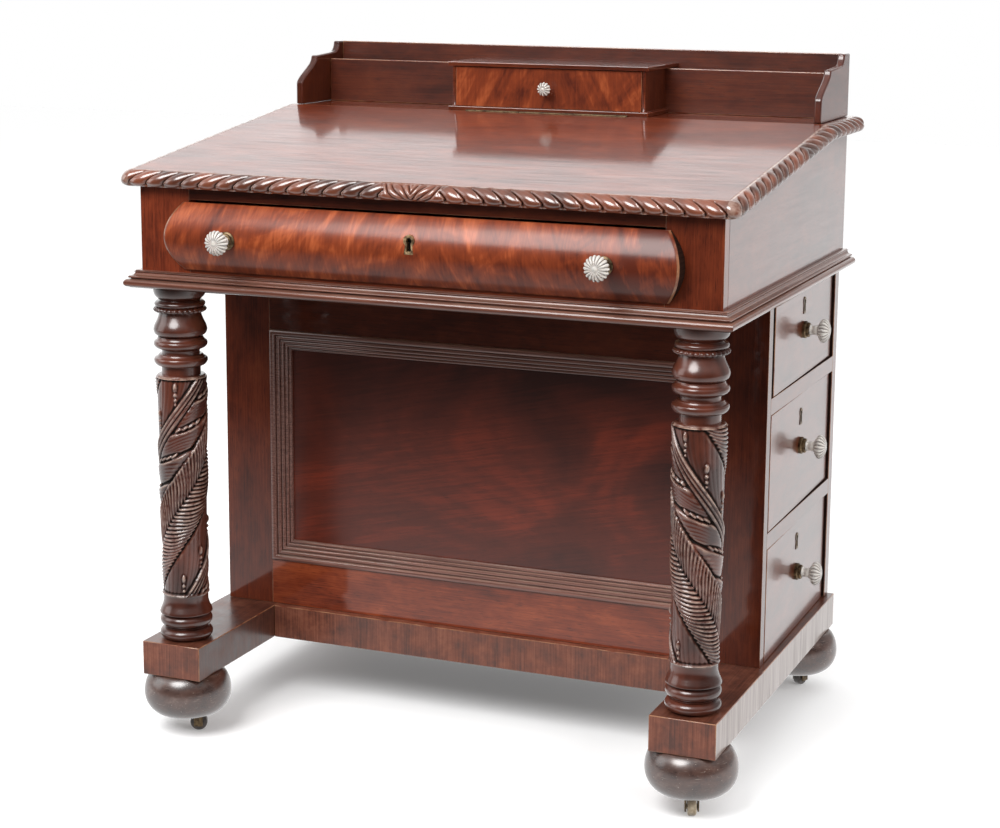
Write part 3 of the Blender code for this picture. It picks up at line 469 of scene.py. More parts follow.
def flame(name, shade=1.0, seed=0.0):
    """Flame veneer: orange and dark clouds with streaks that lean from the middle, darker at its ends."""
    graph = Graph(name)
    parts = graph.parts(graph.spot())
    aside = graph.math("SUBTRACT", parts["X"], DESK_MIDDLE)
    across = graph.math("ABSOLUTE", aside, 0)
    whole, folded = [
        graph.node("CombineXYZ", {"X": place, "Y": seed, "Z": parts["Z"]}).outputs["Vector"]
        for place in (aside, across)
    ]
    leaning = graph.mapped(folded, Rotation=(0, radians(-66), 0))
    streaks = graph.noise(graph.mapped(leaning, Scale=(11, 9, 85)), detail=4.0, distortion=0.8)
    fibre = graph.noise(graph.mapped(whole, Scale=(300, 9, 10)), distortion=0.3)
    turned_whole = graph.mapped(whole, Rotation=(0, radians(35), 0))
    clouds = graph.noise(graph.mapped(turned_whole, Scale=(13, 9, 21)), distortion=1.1)
    blend = graph.weigh((streaks, 0.34), (clouds, 0.50), (fibre, 0.18))
    blend = graph.math("SUBTRACT", blend, graph.span(across, (0.18, 0.34), (0, 0.06)))
    blend = graph.math("SUBTRACT", blend, graph.span(aside, (-0.34, 0.34), (-0.03, 0.06)))
    tones = shaded(shade, FLAME_DARK, FLAME_MIDDLE, FLAME_LIGHT)
    fleck = graph.span(graph.noise(graph.mapped(whole, Scale=(1100, 9, 60))), (0.62, 0.74))
    pored(graph, graph.ramp(blend, (0.37, 0.51, 0.67), tones), fleck, 0.4)
    polish(graph, coat_roughness=0.22, coat=0.5)
    graph.bump(fibre, 0.06, 0.0003)
    return graph.material


def panel_flame(name):
    """A dark cloudy veneer with soft vivid patches, mostly low down, and darker towards its top: painted
    shade under the case.
    """
    graph = Graph(name)
    cloud = graph.grain((3.6, 5, 5.5), place=(0.35, 0, 0.1), distortion=0.9)
    fibre = graph.grain((14, 9, 260), turn=(0, radians(12), 0), distortion=0.6)
    height = graph.parts(graph.spot())["Z"]
    # Painted shade: the veneer darkens towards its top, under the overhang of the case.
    shade_under_case = graph.span(height, (0.22, 0.50), (0.05, -0.05))
    blend = graph.math("ADD", graph.weigh((cloud, 0.80), (fibre, 0.20)), shade_under_case)
    tones = ((0.036, 0.007, 0.004), (0.092, 0.015, 0.007), (0.260, 0.034, 0.012))
    pored(graph, graph.ramp(blend, (0.36, 0.54, 0.74), tones), pores(graph, "x"), 0.5)
    polish(graph, coat_roughness=0.2)
    graph.bump(fibre, 0.06, 0.0003)
    return graph.material


def carved_wood(name, dark, light, shine):
    """Carved mahogany with painted shade in its hollows, and pale on its ridges: partly rubbed, partly a
    painted highlight.
    """
    graph = Graph(name)
    body = graph.ramp(graph.grain((18, 18, 11)), (0.36, 0.64), (dark, light))
    hollow = graph.field("hollow_shade")
    patch = graph.grain((110, 110, 110), detail=2.0)
    rub_and_highlight = graph.times(graph.field("wear_and_highlight"), graph.span(patch, (0.3, 0.6)))
    # Painted shade darkens the hollows; the ridges are mixed pale, partly rubbing, partly a painted
    # highlight.
    tone = graph.mix(hollow, body, CARVED_HOLLOW_SHADE)
    graph.set(Base_Color=graph.mix(graph.times(rub_and_highlight, 0.8), tone, CARVED_RUB_AND_HIGHLIGHT))
    graph.set(Roughness=graph.span(hollow, (0, 1), (0.40, 0.7)), Specular_IOR_Level=UNDER_GLOSS)
    graph.set(Coat_Weight=graph.span(hollow, (0, 0.6), (1.0, 0.0)))
    graph.set(Coat_Roughness=CARVED_ROUGHNESS, Coat_IOR=shine)
    graph.bump(graph.grain((420, 420, 20)), 0.10, 0.0003)
    return graph.material


def worn_and_lit_edge(name):
    """The rubbed arris of a board, pale and patchy along its length: partly wear, partly a painted highlight.
    """
    graph, _ = two_tone(name, (45, 45, 45), (0.36, 0.60), (WOOD_MIDDLE, EDGE_WEAR_AND_HIGHLIGHT), detail=4.0)
    polish(graph, coat_roughness=0.15)
    return graph.material


def scuffed_wood(name):
    """Dark turned wood with dull scuffs, fine scratches and pale specks."""
    graph = Graph(name)
    patch = graph.grain((40, 40, 60), detail=5.0, roughness=0.65)
    scratch = graph.span(graph.grain((60, 60, 900), detail=2.0), (0.66, 0.74))
    speck = graph.span(graph.grain((300, 300, 420)), (0.68, 0.73))
    tones = ((0.034, 0.013, 0.009), (0.075, 0.034, 0.024), (0.16, 0.105, 0.085))
    tone = graph.mix(scratch, graph.ramp(patch, (0.38, 0.58, 0.76), tones), (0.16, 0.12, 0.10))
    graph.set(Base_Color=graph.mix(speck, tone, (0.34, 0.28, 0.24)))
    graph.set(Roughness=graph.span(patch, (0.3, 0.7), (0.35, 0.6)), Specular_IOR_Level=UNDER_GLOSS)
    graph.set(Coat_Weight=1.0, Coat_Roughness=0.27, Coat_IOR=EDGING_COAT)
    graph.bump(patch, 0.15, 0.001)
    return graph.material


def weathered_wood(name, axis, shade=1.0):
    """Mahogany near the floor: brown, dull and mottled, with its polish worn thin."""
    graph = Graph(name)
    mottle = graph.grain((30, 30, 30), detail=5.0, roughness=0.65)
    fibre = graph.grain(grain_scale(axis, 480, 14))
    blend = graph.weigh((mottle, 0.62), (fibre, 0.38))
    tones = shaded(shade, (0.070, 0.021, 0.012), (0.165, 0.050, 0.028), (0.270, 0.100, 0.060))
    graph.set(Base_Color=graph.ramp(blend, WOOD_PLACES, tones))
    graph.set(Roughness=0.45, Specular_IOR_Level=UNDER_GLOSS, Coat_Roughness=0.24)
    graph.set(Coat_Weight=graph.span(mottle, (0.35, 0.65), (1.0, 0.6)))
    graph.bump(fibre, 0.18, 0.0004)
    return graph.material


def painted_reflection_wood(name):
    """Runner sides: pale grey wood, a painted reflection of the bright floor, with upright streaks in a thin
    worn coat.
    """
    tones = ((0.120, 0.072, 0.054), (0.270, 0.200, 0.170))
    noise = {"detail": 4.0, "roughness": 0.65}
    graph, streak = two_tone(name, (30, 150, 7), (0.36, 0.60), tones, (0.08, 0.0004), **noise)
    polish(graph, roughness=0.4, coat_roughness=0.12, under=FULL_GLOSS)
    graph.set(Coat_Weight=graph.span(streak, (0.38, 0.56), (0.65, 1.0)))
    return graph.material


def lining_wood(name, axis):
    """Pale, dry drawer lining with open grain along one axis."""
    tones = ((0.24, 0.13, 0.07), (0.46, 0.29, 0.17))
    graph, _ = two_tone(name, grain_scale(axis, 220, 7), (0.3, 0.7), tones, (0.15, 0.0004), detail=4.0)
    graph.set(Roughness=0.65)
    return graph.material


def aged_brass(name, shade):
    """Dull brass with brown patina."""
    tones = shaded(shade, (0.10, 0.06, 0.035), (0.44, 0.31, 0.17))
    graph, patina = two_tone(name, (190, 190, 190), (0.36, 0.66), tones, (0.15, 0.0003), detail=4.0)
    graph.set(Metallic=0.9, Roughness=graph.span(patina, (-0.3, 1.6)))
    return graph.material


def pressed_glass(name):
    """Pressed glass, warm and pale, with painted shade in the grooves between its flutes."""
    graph = Graph(name)
    ripple = graph.grain((260, 260, 260), detail=1.0)
    body = graph.ramp(ripple, (0.3, 0.7), ((0.90, 0.84, 0.77), (1.0, 0.97, 0.93)))
    graph.set(Base_Color=graph.mix(graph.field("hollow_shade"), body, (0.10, 0.07, 0.055)))
    graph.set(Transmission_Weight=0.5, IOR=1.5, Roughness=0.03)
    graph.bump(ripple, 0.06, 0.0004)
    return graph.material


def wheel_finish(name, dark, light):
    """A worn wheel, patchy between two tones."""
    graph, _ = two_tone(name, (220, 220, 220), (0.34, 0.66), (dark, light), (0.2, 0.0004), detail=4.0)
    graph.set(Roughness=0.45)
    return graph.material


def gap_shade_wood(name):
    """Near-black, unpolished mahogany: painted shade on faces seen in the drawer gaps and at the bolster's
    ends.
    """
    tones = ((0.010, 0.004, 0.003), (0.026, 0.011, 0.007))
    graph, _ = two_tone(name, (60, 14, 420), (0.34, 0.66), tones, (0.15, 0.0004))
    graph.set(Roughness=0.8, Specular_IOR_Level=0.1)
    return graph.material


def keyhole_dark(name):
    """The unlit inside of a lock."""
    tones = ((0.004, 0.003, 0.003), (0.012, 0.009, 0.008))
    graph, _ = two_tone(name, (300, 300, 300), (0.3, 0.7), tones, detail=2.0)
    graph.set(Roughness=0.8)
    return graph.material


WOOD = {axis: mahogany("mahogany_" + axis, axis) for axis in "xz"}
# A darker copy of the mahogany: painted shade on parts that lie in shade.
PAINTED_SHADE_WOOD = {axis: mahogany("painted_shade_mahogany_" + axis, axis, shade=0.6) for axis in "xz"}
# A lighter copy of the mahogany: painted light on the case front's left stile.
PAINTED_LIGHT_WOOD = mahogany("painted_light_mahogany_z", "z", shade=1.7)
# A lighter copy of the mahogany: painted light on the kneehole's bottom rail.
PAINTED_LIGHT_RAIL_WOOD = mahogany("painted_light_rail_mahogany", "x", shade=1.4)
LID_WOOD = mahogany("lid_mahogany", "x", shade=1.1, coat_roughness=0.09, streak=0.45)
# A darker copy of the mahogany under a fuller gloss: painted shade on the side faces.
SIDE_WOOD = mahogany("side_mahogany", "y", shade=0.7, coat_roughness=0.14, under=FULL_GLOSS, streak=0.15)
SCROLL_EDGE = mahogany("scroll_edge", "y", shade=0.55, coat_roughness=0.28, under=FULL_GLOSS)
# A much darker copy of the mahogany: painted shade on the left scroll's inner face and the nest's ends.
SCROLL_PAINTED_SHADE = mahogany("painted_shade_scroll_mahogany", "z", shade=0.35)
GALLERY_WOOD = mahogany("gallery_mahogany", "x", shade=0.62, coat_roughness=0.2, under=0.6)
# The fourth figure is how much dust and painted highlight the up-facing faces take.
WAIST_WOOD = moulded_wood("waist_mahogany", (0.070, 0.022, 0.014), (0.190, 0.064, 0.038), 0.4, 0.15)
REEDED_WOOD = moulded_wood("reeded_mahogany", (0.105, 0.042, 0.033), (0.260, 0.120, 0.092), 0.8, 0.10)
RUNNER_SIDE = painted_reflection_wood("runner_side")
# A darker copy of the weathered wood: painted shade on the runners' inner faces.
PAINTED_SHADE_RUNNER_INSIDE = weathered_wood("painted_shade_runner_inside", "z", shade=0.45)
RUNNER_TOP = weathered_wood("runner_top", "y", shade=0.6)
WEATHERED = weathered_wood("weathered_mahogany_z", "z")
FLAME = flame("flame_veneer")
NEST_FLAME = flame("nest_veneer", shade=0.85, seed=3.0)
PANEL_FLAME = panel_flame("panel_veneer")
CARVED = carved_wood("carved_mahogany", CARVED_BODY, CARVED_LIGHT, CARVED_COAT)
EDGING = carved_wood("carved_edging", EDGING_BODY, EDGING_LIGHT, EDGING_COAT)
EDGE = worn_and_lit_edge("worn_and_lit_arris")
SCUFFED = scuffed_wood("scuffed_turned_wood")
PAINTED_GAP_SHADE = gap_shade_wood("painted_gap_shade_mahogany")
LINING = lining_wood("drawer_lining", "x")
CROSS_LINING = lining_wood("cross_lining", "y")
BRASS = aged_brass("aged_brass", 0.6)
PALE_METAL = aged_brass("pale_metal", 2.1)
DARK_BRASS = aged_brass("dark_brass", 0.35)
GLASS = pressed_glass("pressed_glass")
PALE_WHEEL = wheel_finish("pale_wheel", (0.38, 0.29, 0.19), (0.62, 0.52, 0.38))
DARK_WHEEL = wheel_finish("dark_wheel", (0.018, 0.013, 0.011), (0.09, 0.07, 0.06))
LOCK = keyhole_dark("lock_inside")


def settle(piece, node, stands_for=True):
    """Let a piece ride with a node's body, and hide the node if it stands for it."""
    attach(piece, BODIES[node])
    if stands_for:
        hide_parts(node)


def new_object(name, mesh, materials):
    """Link a mesh object with its materials."""
    mesh.materials.clear()
    for material in materials:
        mesh.materials.append(material)
    made = bpy.data.objects.new(name, mesh)
    bpy.context.scene.collection.objects.link(made)
    return made


def solid_mesh(name, points, faces, fields=None):
    """A mesh with values on its points and all its faces turned outward."""
    mesh = bpy.data.meshes.new(name)
    mesh.from_pydata([tuple(point) for point in points], [], faces)
    for field, values in (fields or {}).items():
        mesh.attributes.new(field, "FLOAT", "POINT").data.foreach_set("value", values)
    work = bmesh.new()
    work.from_mesh(mesh)
    bmesh.ops.recalc_face_normals(work, faces=work.faces)
    work.to_mesh(mesh)
    work.free()
    return mesh


def shape(name, points, faces, materials, node, stands_for=True, sharp=SHARP_ANGLE, fields=None):
    """A closed piece from points and faces, placed with a node."""
    mesh = solid_mesh(name, points, faces, fields)
    mesh.shade_smooth()
    mesh.set_sharp_from_angle(angle=radians(sharp))
    made = new_object(name, mesh, materials)
    settle(made, node, stands_for)
    return made


def tube(rows, count, closed=False):
    """Faces round rows of count points, with a face at each end unless the rows close on themselves."""
    faces = []
    for row in range(rows if closed else rows - 1):
        here = row * count
        there = (row + 1) % rows * count
        for n in range(count):
            after = (n + 1) % count
            faces.append((here + n, here + after, there + after, there + n))
    if not closed:
        faces.append(tuple(range(count)))
        faces.append(tuple(range((rows - 1) * count, rows * count)))
    return faces


def arc(middle_x, middle_y, radius_x, radius_y, start, stop, steps=ARC_STEPS):
    """Points on an ellipse between two angles in degrees."""
    angles = [radians(start + (stop - start) * n / steps) for n in range(steps + 1)]
    return [(middle_x + radius_x * cos(a), middle_y + radius_y * sin(a)) for a in angles]


def curve(points, steps):
    """A smooth line through points, with steps between each two of them."""
    ends = [points[0], *points, points[-1]]
    line = []
    for n in range(1, len(points)):
        before, here, after, beyond = [np.array(p, float) for p in ends[n - 1 : n + 3]]
        for step in range(steps):
            t = step / steps
            spread = 2 * before - 5 * here + 4 * after - beyond
            turn = 3 * here - before - 3 * after + beyond
            line.append(tuple(0.5 * (2 * here + (after - before) * t + spread * t**2 + turn * t**3)))
    return line + [tuple(points[-1])]


def smooth(low, high, values):
    """An eased step from 0 at low to 1 at high."""
    share = np.clip((values - low) / (high - low), 0, 1)
    return share * share * (3 - 2 * share)


def turned(name, profile, seat, materials, node, steps=TURN_STEPS, flutes=None):
    """A turned piece. profile is (radius, height) along the axis; flutes scales the radius round it."""
    points = []
    hollow_shade = []
    angles = [2 * pi * n / steps for n in range(steps)]
    for radius, height in profile:
        for angle in angles:
            scale = flutes(angle, radius, height) if flutes else 1
            points.append(seat @ Vector((scale * radius * cos(angle), scale * radius * sin(angle), height)))
            # Painted shade in the flute grooves, deeper where the flutes cut deeper.
            hollow_shade.append(min(1.0, (1 - scale) * GROOVE_SHADE))
    shape(name, points, tube(len(profile), steps), materials, node, fields={"hollow_shade": hollow_shade})


def bake(piece):
    """Turn a piece's modifiers into its mesh."""
    bpy.context.view_layer.update()
    solved = piece.evaluated_get(bpy.context.evaluated_depsgraph_get())
    mesh = bpy.data.meshes.new_from_object(solved)
    old = piece.data
    piece.modifiers.clear()
    piece.data = mesh
    bpy.data.meshes.remove(old)


def finish_arris(piece, width):
    """Round the sharp edges of a board, in the pale arris finish, partly wear, partly a painted highlight,
    and keep its broad faces flat.
    """
    bevel = piece.modifiers.new("worn_and_lit_arris", "BEVEL")
    bevel.width = width
    bevel.segments = BEVEL_SEGMENTS
    bevel.limit_method = "ANGLE"
    bevel.angle_limit = radians(SHARP_ANGLE)
    bevel.material = ARRIS_MATERIAL
    piece.data.shade_smooth()
    bake(piece)
    for face in piece.data.polygons:
        face.use_smooth = face.area < BROAD_FACE


def board_mesh(node):
    """A copy of a node's mesh with its flat faces whole."""
    mesh = bpy.data.meshes.new("dressed_" + node)
    work = bmesh.new()
    work.from_mesh(frame["nodes"][node].data)
    bmesh.ops.remove_doubles(work, verts=work.verts, dist=WELD)
    flat = radians(FLAT_ANGLE)
    bmesh.ops.dissolve_limit(work, angle_limit=flat, verts=work.verts, edges=work.edges)
    bmesh.ops.recalc_face_normals(work, faces=work.faces)
    for face in work.faces:
        face.material_index = 0
    work.to_mesh(mesh)
    work.free()
    return mesh


def faces_way(face, way):
    """Whether a face looks along an axis: x either way, +x or -x."""
    reach = face.normal["xyz".index(way[-1])]
    if way[0] == "-":
        return -reach > FACING
    if way[0] == "+":
        return reach > FACING
    return abs(reach) > FACING


def dressed(node, wood, edge=EDGE_BEVEL, worn=None, faces=None):
    """A board in place of its node, with rounded arrises; faces gives a way its own wood."""
    others = faces or {}
    piece = new_object("dressed_" + node, board_mesh(node), [wood, worn or EDGE, *others.values()])
    for index, way in enumerate(others, ARRIS_MATERIAL + 1):
        for face in piece.data.polygons:
            if faces_way(face, way):
                face.material_index = index
    finish_arris(piece, edge)
    settle(piece, node)
    return piece


def repaint(node, material):
    """A new finish on a node that keeps its shape."""
    mesh = frame["nodes"][node].data
    mesh.materials.clear()
    mesh.materials.append(material)


def prism(name, outline, direct, levels, materials, node, edge, stands_for=True):
    """A flat board from an outline and two levels; direct turns (u, v, level) into a place."""
    points = [direct(u, v, level) for level in levels for u, v in outline]
    piece = shape(name, points, tube(2, len(outline)), materials, node, stands_for)
    finish_arris(piece, edge)


def framed(node, hole_low, hole_high, woods):
    """Two upright stiles with a rail above and below a hole, in place of one node."""
    low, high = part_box(node)
    (left, bottom), (right, top) = hole_low, hole_high
    boards = {
        "left": ("_stile_", (low.x, low.z), (left, high.z)),
        "right": ("_stile_", (right, low.z), (high.x, high.z)),
        "low": ("_rail_", (left, low.z), (right, bottom)),
        "high": ("_rail_", (left, top), (right, high.z)),
    }
    direct = lambda u, v, y: (u, y, v)
    for name, (kind, start, stop) in boards.items():
        outline = [start, (stop[0], start[1]), stop, (start[0], stop[1])]
        finish = [woods[name], EDGE]
        stands_for = name == "left"
        prism(node + kind + name, outline, direct, (low.y, high.y), finish, node, FINE_BEVEL, stands_for)


def blur(values, reach):
    """The mean over a square of neighbours; the second axis closes on itself."""
    total = np.zeros_like(values)
    padded = np.pad(values, ((reach, reach), (0, 0)), mode="edge")
    rows = values.shape[0]
    for shift in range(2 * reach + 1):
        row = padded[shift : shift + rows]
        for turn in range(-reach, reach + 1):
            total += np.roll(row, turn, axis=1)
    return total / (2 * reach + 1) ** 2


def rib(phase, sharpness):
    """Rounded ridges with sharp grooves between them, 1 on a ridge, one to each unit of phase."""
    return np.abs(np.sin(pi * phase)) ** sharpness


def barb(phase):
    """Overlapping ribs, 1 on a crest, each steeper on one side."""
    return np.sin(pi * np.mod(phase, 1) ** 0.72) ** 0.75


def carve_lobes(along, inward):
    """Smooth overlapping leaf lobes with veins, and an eye of four pellets where two of them meet."""
    lobe_phase = (along - 1.6 * inward) / LOBE_PITCH
    fall = 1 - np.mod(lobe_phase, 1)
    crest = smooth(0, 0.16, fall) * (1 - 0.62 * fall**1.6) * (1 - smooth(0.93, 1, fall))
    depth = 0.1 + 3.6 * (1 - crest)
    bend = fall + 0.0035 * inward * np.sin(inward / 9)
    for vein in LOBE_VEINS:
        depth = depth + 0.55 * np.exp(-(((bend - vein) * LOBE_PITCH) ** 2))
    depth = depth + 1.6 * smooth(30, 38, inward) + 1.0 * np.exp(-inward / 3)
    from_edge = (lobe_phase - np.round(lobe_phase)) * 0.54 * LOBE_PITCH
    eye = ((inward - 13) / 12) ** 2 + (from_edge / 4.6) ** 2 < 1
    depth = np.where(eye, EYE_DEPTH, depth)
    for pellet in EYE_PELLETS:
        gap = ((inward - pellet) ** 2 + from_edge**2) / PELLET_RADIUS**2
        depth = np.where(gap < 1, EYE_DEPTH - 2.7 * np.sqrt(np.clip(1 - gap, 0, 1)), depth)
    return depth


def carve_strap(past, around, height, wide):
    """A hollow strap of upright flutes that sweep into the stem, with hanging rows of beads."""
    sweep = around - 15 * np.exp(-past / 20)
    depth = 2.2 + 1.2 * np.exp(-past / 7) + 0.5 * (1 - rib(sweep / FLUTE_PITCH, 0.4))
    depth = depth + 1.4 * smooth(wide - 7, wide, past)
    girth = 2 * pi * COLUMN_MIDDLE_RADIUS
    for number in range(BEAD_ROWS):
        level = BEAD_TOP - COLUMN_LEAD * radians(35) + BEAD_RISE * (number - 6)
        place = COLUMN_MIDDLE_RADIUS * (BEAD_TOP - level) / COLUMN_LEAD
        turn = np.mod(around - place + girth / 2, girth) - girth / 2
        for drop, size, tall in BEADS:
            gap = (turn**2 + ((height - level + drop) / tall) ** 2) / size**2
            depth = depth - BEAD_DEPTH * np.sqrt(np.clip(1 - gap, 0, 1))
    return depth


def carve_shaft(theta, height, hand):
    """Depth of a column's carving in millimetres: a spiral of feathered leaf, lobes, stems and strap."""
    pitch = 2 * pi * COLUMN_LEAD
    climb = atan2(COLUMN_LEAD, COLUMN_MIDDLE_RADIUS)
    band = np.mod(height + hand * COLUMN_LEAD * theta - FEATHER_EDGE, pitch)
    along = height / sin(climb) - band * cos(climb) / tan(climb)
    along = along + 0.9 * np.sin(along * 0.13)
    around = hand * COLUMN_MIDDLE_RADIUS * theta

    below = (MIDRIB - band) * cos(climb)
    low_phase = (along - 0.55 * below - 0.016 * below**2 - 1.2 * np.sin(2 * pi * below / 36)) / BARB_PITCH
    low_barb = barb(low_phase)
    low_leaf = 0.1 + 3.0 * (1 - low_barb) + 2.6 * np.exp(-below / 4) + 0.8 * smooth(26, 36, below)

    above = (band - MIDRIB) * cos(climb)
    high_phase = (along - 1.2 * above - 2.2 * np.sin(pi * above / 30)) / BARB_PITCH
    high_leaf = 0.5 + 2.4 * (1 - barb(high_phase)) + 2.0 * np.exp(-above / 5)
    high_leaf = high_leaf * (1 - 0.8 * smooth(28, 30.6, above))

    lobes = carve_lobes(along, (STEM_LOW - band) * cos(climb))
    stem_share = np.clip((band - STEM_LOW) / (STRAP_LOW - STEM_LOW), 0, 1)
    stems = 2.4 * (1 - rib(3 * stem_share**1.25, 0.8)) + 1.2 * (1 - stem_share)
    strap = carve_strap(band - STRAP_LOW, around, height, pitch - STRAP_LOW)

    scallop = 4.0 * (1 - low_barb)
    zones = [band < scallop, band < MIDRIB, band < LOBE_EDGE, band < STEM_LOW, band < STRAP_LOW]
    depth = np.select(zones, [4.2 + 0 * band, low_leaf, high_leaf, lobes, stems], strap)
    return np.clip(CARVING_BOLDNESS * blur(depth, 1), 0, CARVING_LIMIT)


def column_foot():
    """(radius, height) rows of the rings below the shaft, in millimetres."""
    hollow = [(34.6, 37.6), (34.0, 39.6), (32.6, 43), (31.0, 47), (30.0, 51), (29.6, 55), (29.6, 61.4)]
    rows = arc(26.4, 7.8, 8.6, 7.6, -88, 80)
    rows += [(28.6, 15.6), (29.2, 16.6), (28.4, 17.4)]
    rows += arc(26.2, 25.8, 8.4, 8.2, -80, 80)
    rows += [(28.6, 34.3), (32.6, 35.0), (34.8, 35.9), (34.9, 36.8)]
    return rows + curve(hollow, 5)


def column_neck():
    """(radius, height) rows of the rings and the vase over the shaft, in millimetres."""
    vase = [(29.8, 411.6), (33.0, 413.8), (34.7, 417.8), (34.7, 421)]
    vase += [(33.2, 426), (30.2, 432.2), (28, 438), (27.2, 441.8)]
    rows = [(33.6, 356.4), (31.4, 357.2), (31.6, 358.6), (30.9, 359.3), (25.4, 359.6), (25.4, 370.6)]
    rows += curve([(26.2, 371.0), (31.2, 372.4), (34.4, 376.2), (34.9, 379.6), (34.2, 381.8)], 5)
    rows += curve([(33.8, 382.3), (31.6, 383.2), (29.6, 384.8), (28.4, 386.6)], 4)
    rows += [(24.8, 387.0), (24.5, 389.6), (25.0, 392.8)]
    rows += curve([(25.8, 393.8), (31.2, 395.2), (34.4, 398.4), (34.8, 401.6), (34.0, 404.0)], 5)
    rows += curve([(33.6, 404.4), (31.4, 405.8), (30.0, 407.8), (29.4, 410.0)], 4)
    rows += [(27.6, 410.4), (28.4, 411.2)]
    return rows + curve(vase, 5)


def column_capital():
    """(radius, height) rows of the ring and the bowl-shaped capital over the beads, in millimetres."""
    bowl = [(26.9, 458.8), (29.2, 461.2), (31.6, 463.6), (33.1, 466.4)]
    bowl += [(34.0, 469.6), (34.6, 473.2), (34.9, 476.2)]
    rows = arc(27.4, 453.4, 5.6, 4.3, -50, 88, 12) + [(26.6, 457.9), (26.4, 458.4)]
    return rows + curve(bowl, 4) + [(34.4, 477.0)]


def make_column(side, hand):
    """One turned and carved column. The two are mirror images."""
    node = "column_" + side
    theta = np.linspace(-pi, pi, COLUMN_STEPS, endpoint=False)
    shaft = np.linspace(SHAFT_LOW + SHAFT_START, SHAFT_HIGH, SHAFT_ROWS)
    taper = np.interp(shaft, [SHAFT_LOW, SHAFT_HIGH], [SHAFT_LOW_RADIUS, SHAFT_HIGH_RADIUS])
    turn, level = np.meshgrid(theta, shaft)
    depth = carve_shaft(turn, level, hand) * smooth(SHAFT_LOW, SHAFT_LOW + SHAFT_EASE, level)
    foot, neck, capital = column_foot(), column_neck(), column_capital()
    beads = arc(28.2, 446.0, 6.6, 3.6, -84, 70, 14)
    bead_wave = COLUMN_BEAD_DEPTH * (1 - rib(theta * COLUMN_BEADS / (2 * pi), 0.6))
    flat = np.ones(COLUMN_STEPS)
    rows = [radius * flat for radius, _ in foot]
    rows += list(taper[:, None] - depth)
    rows += [radius * flat for radius, _ in neck]
    rows += [radius * flat - bead_wave for radius, _ in beads]
    rows += [radius * flat for radius, _ in capital]
    heights = [h for _, h in foot] + list(shaft) + [h for _, h in neck + beads + capital]
    low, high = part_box(node)
    centre = (low + high) / 2
    radii = np.array(rows) * MILLIMETRE
    points = np.zeros((len(rows), COLUMN_STEPS, 3))
    points[:, :, 0] = centre.x + radii * np.sin(theta)
    points[:, :, 1] = centre.y - radii * np.cos(theta)
    points[:, :, 2] = low.z + np.array(heights)[:, None] * MILLIMETRE
    relief = np.zeros_like(radii)
    relief[len(foot) : len(foot) + SHAFT_ROWS] = depth
    proud = blur(relief, 4) - relief
    # Ridges are marked pale, partly rubbing, partly a painted highlight; hollows and deep places are marked
    # for painted shade.
    fields = {
        "wear_and_highlight": np.clip((proud - 0.15) / 0.9, 0, 1).ravel(),
        "hollow_shade": np.clip(-proud / 0.8 + (relief - 3.2) / 3, 0, 1).ravel(),
    }
    faces = tube(len(rows), COLUMN_STEPS)
    places = points.reshape(-1, 3).tolist()
    shape("carved_" + node, places, faces, [CARVED], node, fields=fields, sharp=COLUMN_ANGLE)


def edging_section():
    """The edging's smooth section as (out, up) from its top arris, its normals, and each point's share."""
    half = EDGING_WIDTH / 2
    brow = arc(0, -EDGING_DROP, EDGING_WIDTH, EDGING_DROP, 90, 0, BROW_STEPS)
    lip = arc(half, -EDGING_DROP, half, EDGING_THICKNESS - EDGING_DROP, 0, -90, LIP_STEPS)
    line = np.array(brow + lip[1:])
    length = np.concatenate([[0], np.cumsum(np.hypot(*np.diff(line, axis=0).T))])
    slope = np.gradient(line, axis=0)
    normal = np.stack([-slope[:, 1], slope[:, 0]], axis=1)
    normal = normal / np.linalg.norm(normal, axis=1)[:, None]
    return line, normal * np.sign(normal[0, 1]), length / length[-1]


def gadroon_lean(share):
    """How far the grooves lean at a share of the way down the section, in lobes."""
    return 0.95 * np.clip(1 - share / 0.66, 0, 1) ** 1.25


def gadroon_swell(share, rise):
    """How deep the grooves are down the section: rising from the arris and ending at the lip."""
    return smooth(*rise, share) * (1 - smooth(*GADROON_END, share))


def gadroon_cut(phase, share):
    """Cut of one round lobe per unit of phase, in metres, with a thin lip beside each groove."""
    place = np.mod(phase, 1)
    lobe = np.sqrt(np.clip(1 - (2 * place - 1) ** 2, 0, 1))
    lip = GADROON_LIP * np.exp(-(((place - 0.91) / 0.035) ** 2))
    return gadroon_swell(share, GADROON_RISE) * np.clip(GADROON_DEPTH * (1 - lobe) - lip, 0, None)


def gadroon_depth(away, share, lobes, leaf, reach):
    """How far the lobes are cut back, in metres. away is the distance from the middle of the run."""
    pitch = (reach - leaf) / lobes
    cut_back = gadroon_cut((away - leaf) / pitch + gadroon_lean(share), share)
    if leaf:
        veins = rib(away / LEAF_RIB + 2.4 * share**1.4 + 0.25 * np.sin(away / 0.006), 0.6)
        leaf_cut = LEAF_DEPTH * gadroon_swell(share, LEAF_RISE) * (1 - veins)
        edge = leaf - 0.010 + 0.020 * (0.5 - share)
        inside = smooth(edge + 0.002, edge - 0.002, away)
        cut_back = cut_back * (1 - inside) + (leaf_cut + LEAF_SINK) * inside
    return cut_back


def corner_depth(bulge, share):
    """The lobe that turns the corner; bulge goes from 0 at its ends to a half at its middle."""
    return gadroon_cut(bulge + gadroon_lean(share) * (1 - 2 * bulge), share)


def edging_runs():
    """Length of the lid's edging from the hinge line to the front corner, and with the shelf's added."""
    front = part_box("lid_edging")[0].y + EDGING_WIDTH * cos(SLOPE)
    depth = (LID_HIGH.y - front) / cos(SLOPE)
    low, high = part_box("shelf")
    return depth, depth + high.y - low.y


